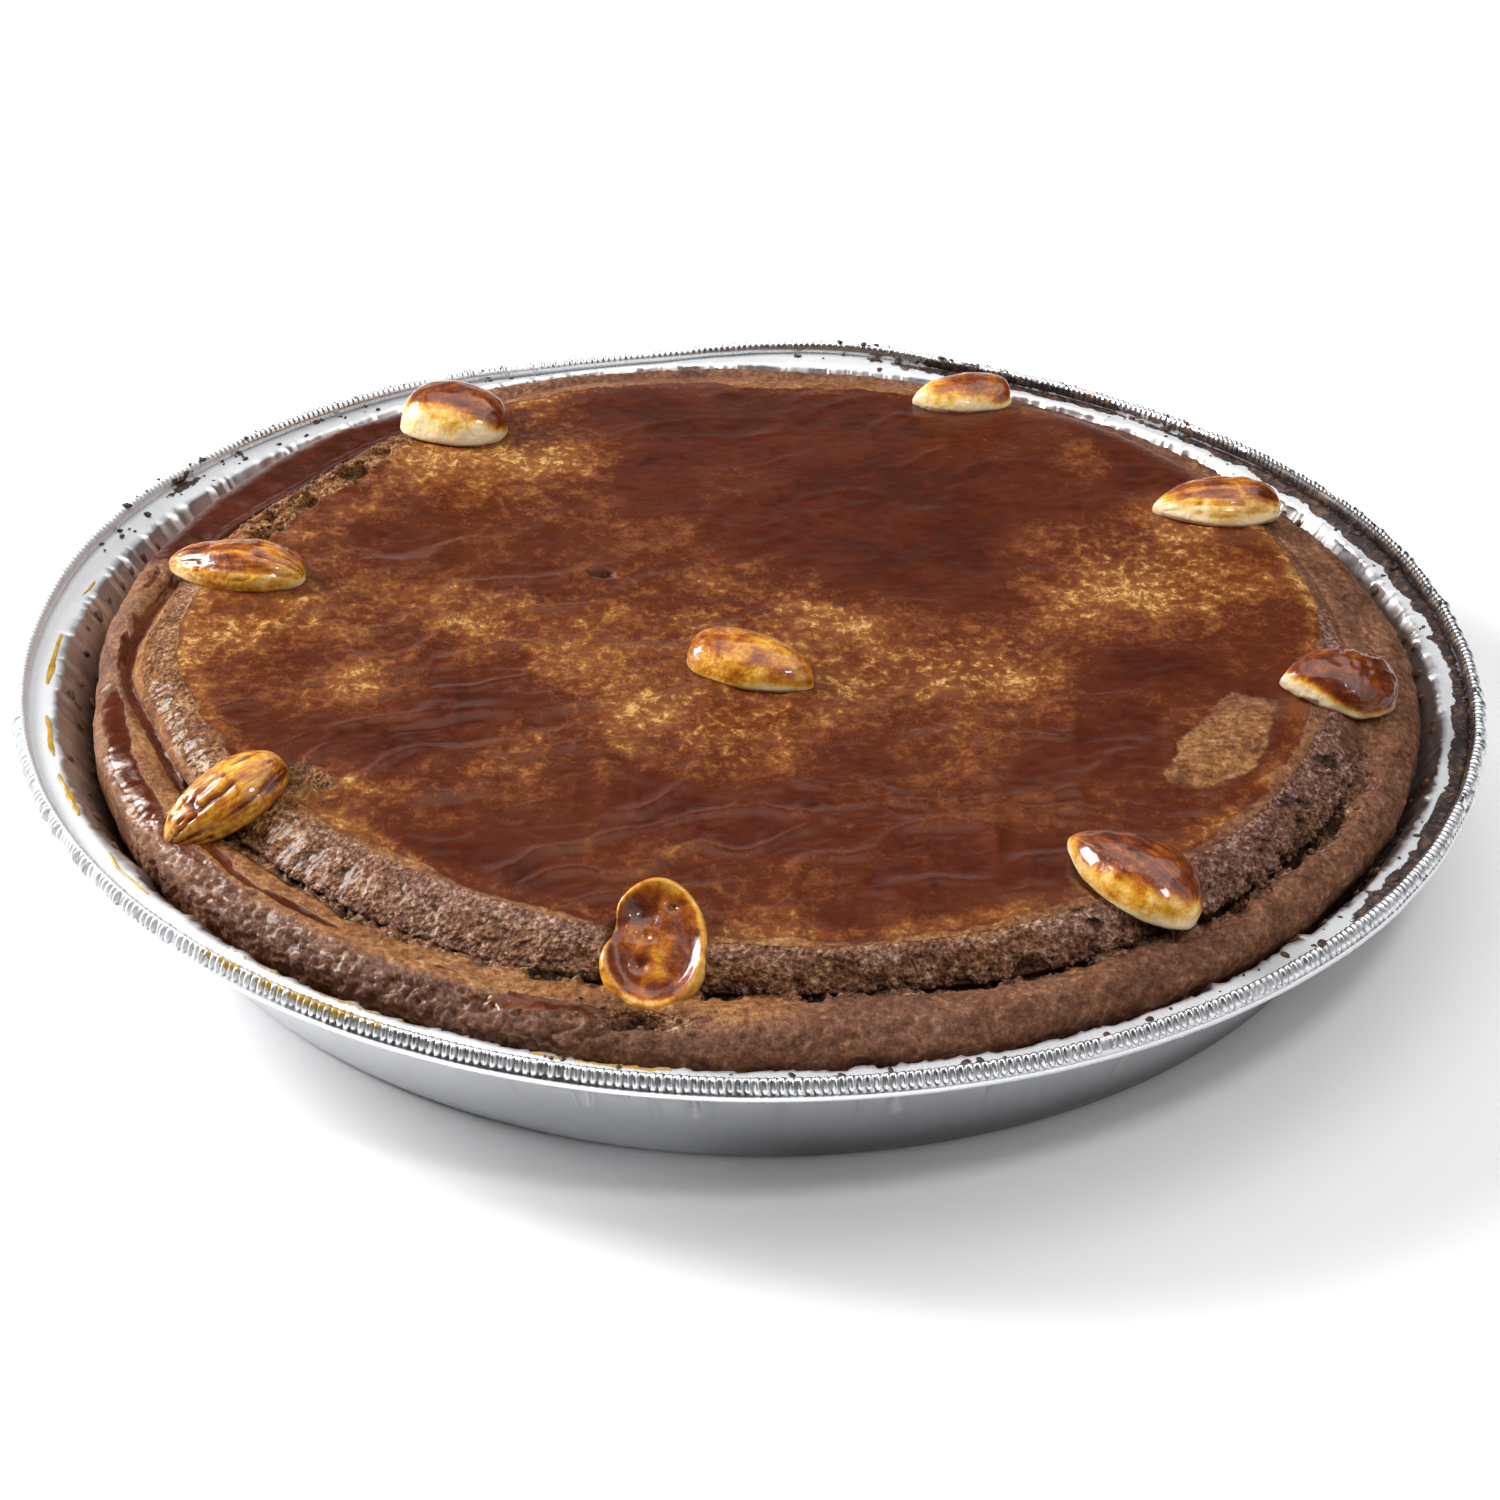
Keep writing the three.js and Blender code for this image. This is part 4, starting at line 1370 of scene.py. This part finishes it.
def wall_relief(azimuth, height):
    """How far waves, creases and nicks move the tin's wall outwards."""
    line = along_rim(azimuth)
    sheet = along_rim(azimuth, height * 0.6)
    leaning = line + height[:, None] * np.array([0, 0, 0.05])
    creases = 1 - ease(np.abs(soft_noise(leaning, 11, 201)), 0.0, 0.16)
    nicks = 1 - ease(np.abs(soft_noise(line, 17, 207)), 0.0, 0.12)
    relief = 0.5 * rough_noise(sheet, 20, 203, 2) - 0.45 * creases * ease(height, 4, 16)
    return relief - nicks * ease(height, 12.5, 15.5)


def tin_skin():
    """Points and faces of the smooth dish, one closed skin, and which points lie inside."""
    mouth, bead, flange = MOUTH_RADIUS, FLANGE_RADIUS - BEAD_WIDTH, FLANGE_HEIGHT
    # (radius, height) round the section: up the outside, over the flange and down the inside
    outside = [(BASE_RADIUS - 1.4, 0.0), (BASE_RADIUS - 0.3, 0.35), (wall_radius(1.4), 1.4)]
    outside += [(wall_radius(height), height) for height in np.linspace(3, 24.8, 14)]
    outside += [(mouth - 0.1, flange - 1.2), (mouth + 0.4, flange - 0.45)]
    outside += [(radius, flange - FOIL) for radius in (mouth + 1, mouth + 2.4, bead + 0.4)]
    inside = [(radius, flange) for radius in (bead + 0.4, mouth + 2.6, mouth + 1.6, mouth + 0.8)]
    lip = ((0.2, 0.15), (-0.2, 0.6), (-0.5, 1.3))
    inside += [(mouth + out, flange - drop) for out, drop in lip]
    inside += [(wall_radius(height) - FOIL, height) for height in np.linspace(24, 3, 14)]
    inside += [(BASE_RADIUS - 1, 1), (BASE_RADIUS - 2, FOIL)]
    # (how much coarser, radius) across the base
    base = [(8, 40), (8, 80), (4, 98), (2, 103)]
    rows = [np.zeros((1, 3))]
    rows += [ring_row(FOIL_POINTS // coarser, radius, 0) for coarser, radius in base]
    first_inside = sum(len(row) for row in rows) + FOIL_POINTS * len(outside)
    rows += [ring_row(FOIL_POINTS, radius, height) for radius, height in outside + inside]
    rows += [ring_row(FOIL_POINTS // coarser, radius, FOIL) for coarser, radius in base[::-1]]
    rows.append(np.array([[0, 0, FOIL]]))
    points, faces = turned_skin(rows)
    return points, faces, np.arange(len(points)) >= first_inside


def make_tin_dish():
    """Wall, base and flange of the tin, with their pleats, creases and marks, painted shade and a
    painted reflection of the crust.
    """
    points, faces, is_inside = tin_skin()
    mouth = MOUTH_RADIUS
    radius, azimuth = polar(points)
    wall = ease(points[:, 2], 1, 8) * (1 - ease(radius, mouth - 0.3, mouth + 0.5))
    line = along_rim(azimuth)
    sheet = along_rim(azimuth, points[:, 2] * 0.6)
    outward = wall * wall_relief(azimuth, points[:, 2])
    kinks = soft_noise(line, 4.5, 205)
    lip = ease(radius, mouth - 0.6, mouth + 0.4) * (1 - ease(radius, mouth + 0.8, mouth + 2.4))
    outward -= 0.45 * lip * is_inside * ease(kinks, 0.0, 0.4)
    upward = 0.12 * rough_noise(line, 12, 209, 3) * ease(radius, mouth + 0.4, mouth + 2)
    points = bent_to_rim(push_out(points, outward, upward))
    mesh = mesh_from("tin_dish", points, faces)
    below_flange = 1 - ease(radius, mouth + 0.2, mouth + 0.9)
    store(mesh, pleated=is_inside * below_flange * ease(points[:, 2], 2, 9))
    mesh = baked(mesh, pleat_tree(), Pleats=PLEATS, Depth=PLEAT_DEPTH, Foil=FOIL_FINISH)
    mesh.name = "tin_dish"
    on_flange = ease(radius, mouth + 0.4, mouth + 1) * is_inside
    # painted shade on the outer wall, darker towards the bottom and left out on the lit side; the
    # flange is painted a little darker away from the left
    low = 0.17 + 0.34 * (1 - ease(points[:, 2], 4, 24)) + 0.28 * (1 - ease(points[:, 2], 2, 10))
    lit_side = window(azimuth, -132, 32, 16)
    below_lip = 1 - ease(radius, mouth - 0.3, mouth + 0.5)
    dull = np.where(is_inside, 0, below_lip * low * (1 - 0.95 * lit_side))
    dull += 0.3 * on_flange * (1 - window(azimuth, -160, 50, 20))
    # painted reflection of the brown crust on the inner wall, patchy and fainter near the top
    patchy = 0.6 + 0.5 * rough_noise(sheet, 9, 215, 3)
    stained = np.clip(wall * patchy * (1.1 - 0.6 * ease(points[:, 2], 18, 26)), 0, 1) * is_inside
    satin = np.where(is_inside, 0.6, 0.35)
    store_marks(mesh, points, lines=on_flange, satin=satin, dull=dull, stained=stained)
    return add_piece("tin_dish", mesh, FOIL_FINISH, "foil", "foil_tin")


def store_marks(mesh, points, **finish):
    """Stores where syrup is burnt on the tin, where egg wash ran over it, and the foil's finish with
    its painted shade and painted reflection.
    """
    radius, azimuth = polar(points)
    line = along_rim(azimuth, radius * 0.6)
    blots = rough_noise(line, 12, 301, 3)
    short_blots = rough_noise(line, 3.5, 303, 3)
    inset = rim_radius(azimuth) - radius
    high = ease(points[:, 2], FLANGE_HEIGHT - 0.8, FLANGE_HEIGHT - 0.2)
    groove = bell(inset - 3.3 - 0.5 * short_blots, 1.6) * high * ease(inset, 1.7, 2.3)
    top = bell(inset - 1.2, 0.9) * high
    right = window(azimuth, -2, 34, 8)
    back_right = window(azimuth, 45, 26, 12)
    back = window(azimuth, 92, 26, 12)
    burnt = groove * (2.0 * right + 1.0 * back_right) + top * (0.17 * back_right + 0.28 * back)
    blot = bell(apart(azimuth, 153), 3.5) * bell(inset - 3.4, 1.6)
    burnt = burnt * (1 + 0.45 * blots + 0.5 * short_blots) + 0.85 * blot * high
    inner = bell(radius - mouth_radius(azimuth) - 0.5, 0.5) * high
    egg = 0.5 * inner * window(azimuth, -122, 26, 8) + 0.3 * inner * window(azimuth, -60, 36, 10)
    left = window(azimuth, -158, 40, 12)
    egg += 0.3 * left * top + 0.16 * window(azimuth, -112, 16, 10) * top
    egg = np.clip(egg * (1 + 0.8 * blots + 0.3 * short_blots), 0, 1)
    store(mesh, burnt=np.clip(burnt, 0, 1), egg=egg, **finish)


def crimp_mesh():
    """One crimp of the bead: X is outwards from its outer face and Y runs along the rim."""
    pitch = TURN * FLANGE_RADIUS / CRIMPS
    # (reach, height above the flange, how far the crimp stands out there, and how far up)
    profile = [
        (-2.0, -0.2, 0, 0), (-2.25, 0.5, -0.1, 0), (-2.2, 1.3, -0.1, 0.1), (-1.95, 1.9, 0, 0.3),
        (-1.6, 2.2, 0.2, 0.4), (-1.3, 2.15, 0.6, 0.35), (-1.1, 1.85, 0.9, 0.2),
        (-0.92, 1.45, 1, 0.1), (-0.74, 1.05, 1, 0.1), (-0.58, 0.68, 0.9, 0), (-0.45, 0.4, 0.3, 0),
        (-0.12, 0.2, 0, 0), (0.0, -0.2, 0, 0), (0.0, -0.7, 0, 0), (-0.15, -1.1, 0, 0),
        (-0.5, -1.2, 0, 0), (-0.9, -0.8, 0, 0),
    ]
    # (how far along the rim, as a share of the pitch, and how much the crimp swells there)
    columns = [(-0.5, 0), (-0.34, 0.0), (-0.2, 0.95), (0.12, 1.0), (0.26, 0.05), (0.5, 0)]
    points, ridge, rise = [], [], []
    for across, swell in columns:
        for reach, height, outwards, upwards in profile:
            points.append((reach, across * pitch, FLANGE_HEIGHT + height))
            ridge.append(swell * outwards)
            rise.append(swell * upwards)
    count = len(profile)
    faces = [
        (corner, corner + count, corner + count + 1, corner + 1)
        for column in range(len(columns) - 1)
        for corner in range(column * count, (column + 1) * count - 1)
    ]
    mesh = mesh_from("crimp", np.array(points), faces)
    store(mesh, ridge=ridge, rise=rise)
    return mesh


def make_bead():
    """The crimped bead round the flange."""
    sizes = dict(Crimps=CRIMPS, Radius=FLANGE_RADIUS * MM, Unevenness=0.0007)
    mesh = baked(crimp_mesh(), crimp_tree(), **sizes, Foil=FOIL_FINISH)
    points = vertex_points(mesh)
    _, azimuth = polar(points)
    sway = 0.12 * rough_noise(along_rim(azimuth), 9, 211, 2)
    points = bent_to_rim(push_out(points, sway, sway * 0.6))
    mesh.vertices.foreach_set("co", (points * MM).ravel())
    mesh.update()
    mesh.name = "tin_bead"
    none = np.zeros(len(points))
    at_left = window(azimuth, -168, 38, 14)
    finish = dict(lines=0.5 * at_left, satin=0.8 * at_left, dull=none, stained=none)
    store_marks(mesh, points, **finish)
    return add_piece("tin_bead", mesh, FOIL_FINISH, "foil", "foil_tin")


# ---- small things ----------------------------------------
def strew(name, points, turns, sizes, finish, proportions, lumpiness=0.0):
    """Makes one piece of little lumps at the given points, in millimetres."""
    mesh = bpy.data.meshes.new(name)
    mesh.from_pydata((points * MM).tolist(), [], [])
    store(mesh, size=sizes * MM)
    attribute = mesh.attributes.new("turn", "FLOAT_VECTOR", "POINT")
    attribute.data.foreach_set("vector", np.asarray(turns, np.float32).ravel())
    shape = dict(Proportions=proportions, Roundness=2, Lumpiness=lumpiness * MM)
    mesh = baked(mesh, STREWN, **shape, Finish=finish)
    mesh.name = name
    return add_piece(name, mesh, finish, "crust")


def make_crumbs(crust_pieces):
    """Loose crumbs in the crevice, the crack, the hole and the other torn places."""
    chance = np.random.default_rng(5)
    points = np.concatenate([vertex_points(piece.data) for piece in crust_pieces])
    radius, azimuth = polar(points)
    above = ease(points[:, 2], 27.3, 28)
    crevice = bell(radius - lid_foot(azimuth) - 0.2, 1.2) * window(azimuth, -85, 58, 8)
    tears = window(azimuth, -36, 12, 6) * bell(radius - 107, 3.0)
    hole = bell(apart(azimuth, HOLE_DEGREES) * MM_PER_DEGREE, 8) * bell(radius - 111.5, 3.5)
    crack = crack_share(points) * (radius < lid_edge(azimuth) + 3) * (points[:, 2] > 30)
    nook = bell(distance_to(points, (-72, -56)), 5)
    odds = above * (0.07 * crevice + 0.08 * tears + 0.1 * hole + 0.1 * crack + 0.08 * nook)
    chosen = points[chance.random(len(points)) < odds]
    sizes = 0.22 + 0.5 * chance.random(len(chosen)) ** 3
    turns = chance.uniform(0, TURN, (len(chosen), 3))
    return strew("crumbs", chosen, turns, sizes, CRUMB_FINISH, (1, 0.85, 0.7), 0.6)


def make_flange_flecks():
    """Burnt crumbs on the flange and the bead, thickest at the back and at the right."""
    chance = np.random.default_rng(9)
    count = 900
    azimuth = chance.uniform(0, TURN, count)
    spread = chance.random(count)
    mouth, rim = mouth_radius(azimuth), rim_radius(azimuth)
    radius = mouth + 0.4 + spread * (rim - mouth - 1.4)
    on_bead = radius > rim - 2.3
    lift = (rim_crest(azimuth) - BEAD_CREST) * ease(radius, mouth, mouth + 3.7)
    height = FLANGE_HEIGHT + 0.05 + (lift + np.where(on_bead, 2.4, 0))
    right, back_right = window(azimuth, 0, 42, 10), window(azimuth, 50, 28, 10)
    back_left, front = window(azimuth, 140, 22, 10), window(azimuth, -70, 30, 14)
    groove, inner = bell(radius - rim + 3.0, 0.9), bell(radius - mouth - 0.8, 0.9)
    odds = right * (0.7 * groove + 0.25 * inner) + back_right * (0.7 * groove + 0.25)
    odds += back_left * 0.4 + front * 0.45 * inner * (1 - on_bead)
    kept = chance.random(count) < odds
    azimuth, radius, height = azimuth[kept], radius[kept], height[kept]
    points = from_polar(radius, azimuth, height)
    turns = np.stack([0 * azimuth, 0 * azimuth, chance.uniform(0, TURN, len(azimuth))], axis=1)
    sizes = 0.3 + 0.75 * chance.random(len(azimuth)) ** 3
    return strew("flange_flecks", points, turns, sizes, BURNT_FINISH, (1, 0.7, 0.35), 0.5)


SPECK_COLUMNS = 134
SPECK_DEPTH = 0.75  # how far a speck's middle lies inside the wall


def make_wall_specks():
    """Rows of brown oval specks baked on to the inside of the wall."""
    chance = np.random.default_rng(13)
    azimuth, height = np.meshgrid(even_turn(SPECK_COLUMNS), np.arange(5.0) * 3.9 + 8.0)
    azimuth, height = azimuth.ravel(), height.ravel()
    azimuth = azimuth + chance.normal(0, 0.006, len(azimuth))
    height = height + chance.normal(0, 0.7, len(height)) + 1.2 * np.sin(azimuth * 31)
    kept = (chance.random(len(azimuth)) < 0.88) & (height < 25.0)
    azimuth, height = azimuth[kept], height[kept]
    lean = math.atan2(MOUTH_RADIUS - BASE_RADIUS, FLANGE_HEIGHT)
    radius = BASE_RADIUS + (mouth_radius(azimuth) - BASE_RADIUS) * height / FLANGE_HEIGHT
    radius += wall_relief(azimuth, height) - SPECK_DEPTH
    points = from_polar(radius, azimuth, height)
    points[:, 0] += BASE_CENTRE.x / MM * (1 - height / FLANGE_HEIGHT)
    tilt = chance.normal(0, 0.25, len(azimuth))
    turns = np.stack([tilt, 0 * azimuth + lean, azimuth], axis=1)
    sizes = 0.55 + 0.4 * chance.random(len(azimuth))
    return strew("wall_specks", points, turns, sizes, SPECK_FINISH, (0.5, 0.65, 1.3))


# (azimuth from, azimuth to, width)
DRIPS = [
    (-180, -171.5, 1.3), (-167, -160.5, 1.0), (-158, -151.5, 1.1), (-146, -139, 0.5),
    (171, 174, 0.6),
]


def make_drips():
    """Egg wash that ran on to the flange at the left and dried there in short strokes."""
    turn = even_turn(10)
    skins, faces, count = [], [], 0
    for start, end, width in DRIPS:
        share = np.linspace(0, 1, 30)
        azimuth = np.radians(start + (end - start) * share)
        line = along_rim(azimuth)
        half = 0.5 * width * np.sin(np.pi * np.clip(share, 0.02, 0.98)) ** 0.4
        half = half * (1 + 0.35 * soft_noise(line, 2.2, 401))
        middle = mouth_radius(azimuth) + 1.0 + 0.3 * soft_noise(line, 5, 403)
        height = FLANGE_HEIGHT + 0.1 + 0.18 * np.sin(turn)
        tips = from_polar(middle, azimuth, FLANGE_HEIGHT + 0 * middle)
        stations = zip(middle[1:-1], half[1:-1], azimuth[1:-1])
        rings = [from_polar(m + h * np.cos(turn), a, height) for m, h, a in stations]
        points, skin = turned_skin([tips[:1], *rings, tips[-1:]])
        faces += [[count + corner for corner in face[::-1]] for face in skin]
        skins.append(points)
        count += len(points)
    mesh = mesh_from("egg_drips", np.concatenate(skins), faces)
    return add_piece("egg_drips", mesh, DRIP_FINISH, "glazed_crust")


# ---- studio ----------------------------------------
def add_floor():
    half = 0.8
    corners = [(-half, -half, 0), (half, -half, 0), (half, half, 0), (-half, half, 0)]
    mesh = bpy.data.meshes.new("floor")
    mesh.from_pydata(corners, [], [(0, 1, 2, 3)])
    material, tree, shader = new_material("pale floor")
    finish = {"Base Color": (0.95, 0.95, 0.95, 1), "Roughness": 0.9, "Specular IOR Level": 0.0}
    fill(tree, shader, finish)
    mesh.materials.append(material)
    floor = bpy.data.objects.new("floor", mesh)
    bpy.context.scene.collection.objects.link(floor)


def add_softbox(name, azimuth, elevation, distance, width, height, power):
    """An area light aimed at the tart, from a compass direction and height in degrees."""
    lamp = bpy.data.lights.new(name, "AREA")
    lamp.shape = "RECTANGLE"
    lamp.size = width
    lamp.size_y = height
    lamp.energy = power
    light = bpy.data.objects.new(name, lamp)
    bpy.context.scene.collection.objects.link(light)
    turn, rise = math.radians(azimuth), math.radians(elevation)
    way = Vector((math.cos(rise) * math.cos(turn), math.cos(rise) * math.sin(turn), math.sin(rise)))
    turned = way.to_track_quat("Z", "Y").to_matrix().to_4x4()
    light.matrix_world = Matrix.Translation(way * distance) @ turned


def add_world():
    """Dim grey surroundings, dimmer still behind the tart, where its glaze would mirror them."""
    world = bpy.data.worlds.new("studio")
    bpy.context.scene.world = world
    world.use_nodes = True
    tree = world.node_tree
    way = put(tree, "ShaderNodeTexCoord").outputs["Generated"]
    way = put(tree, "ShaderNodeSeparateXYZ", way).outputs
    level = between(tree, way[1], -0.2, 0.6, 0.021, 0.003)
    seen = put(tree, "ShaderNodeLightPath").outputs["Is Camera Ray"]
    finish = {"Color": (1, 1, 1, 1), "Strength": calc(tree, "MAXIMUM", level, seen)}
    fill(tree, tree.nodes["Background"].inputs, finish)


add_camera()
add_floor()
add_world()
# name, azimuth, elevation, distance, width, height, power
add_softbox("key", 162, 28, 1.1, 0.38, 0.6, 21)
add_softbox("top", 80, 74, 1.3, 1.3, 1.3, 10.5)
add_softbox("fill", -35, 42, 1.3, 1.5, 1.5, 6.5)
add_softbox("spark", -62, 60, 1.0, 0.13, 0.13, 1.8)
add_softbox("backdrop", 97, 11, 1.3, 1.1, 0.2, 0.7)
bpy.context.scene.view_settings.view_transform = "Standard"

LID_FINISH = crust_material("glazed lid", 0.27)
RING_FINISH = crust_material("crust ring", 0.45)
FOIL_FINISH = foil_material()
NUT_FINISH = nut_material()
CRUMB_FINISH = mottled_material("crumb", (58, 34, 22), (168, 122, 88), 0.75, 700)
SPECK_FINISH = mottled_material("baked speck", (78, 46, 32), (150, 106, 78), 0.5, 500)
BURNT_FINISH = mottled_material("burnt crumb", (34, 20, 16), (92, 58, 40), 0.5, 500)
DRIP_FINISH = mottled_material("dried egg", (196, 146, 30), (228, 188, 80), 0.25, 400)
STREWN = strewn_tree()

make_tin_dish()
make_bead()
crusts = [make_ring(), make_lid()]
for nut_node in NUTS:
    make_nut(nut_node)
make_crumbs(crusts)
make_flange_flecks()
make_wall_specks()
make_drips()
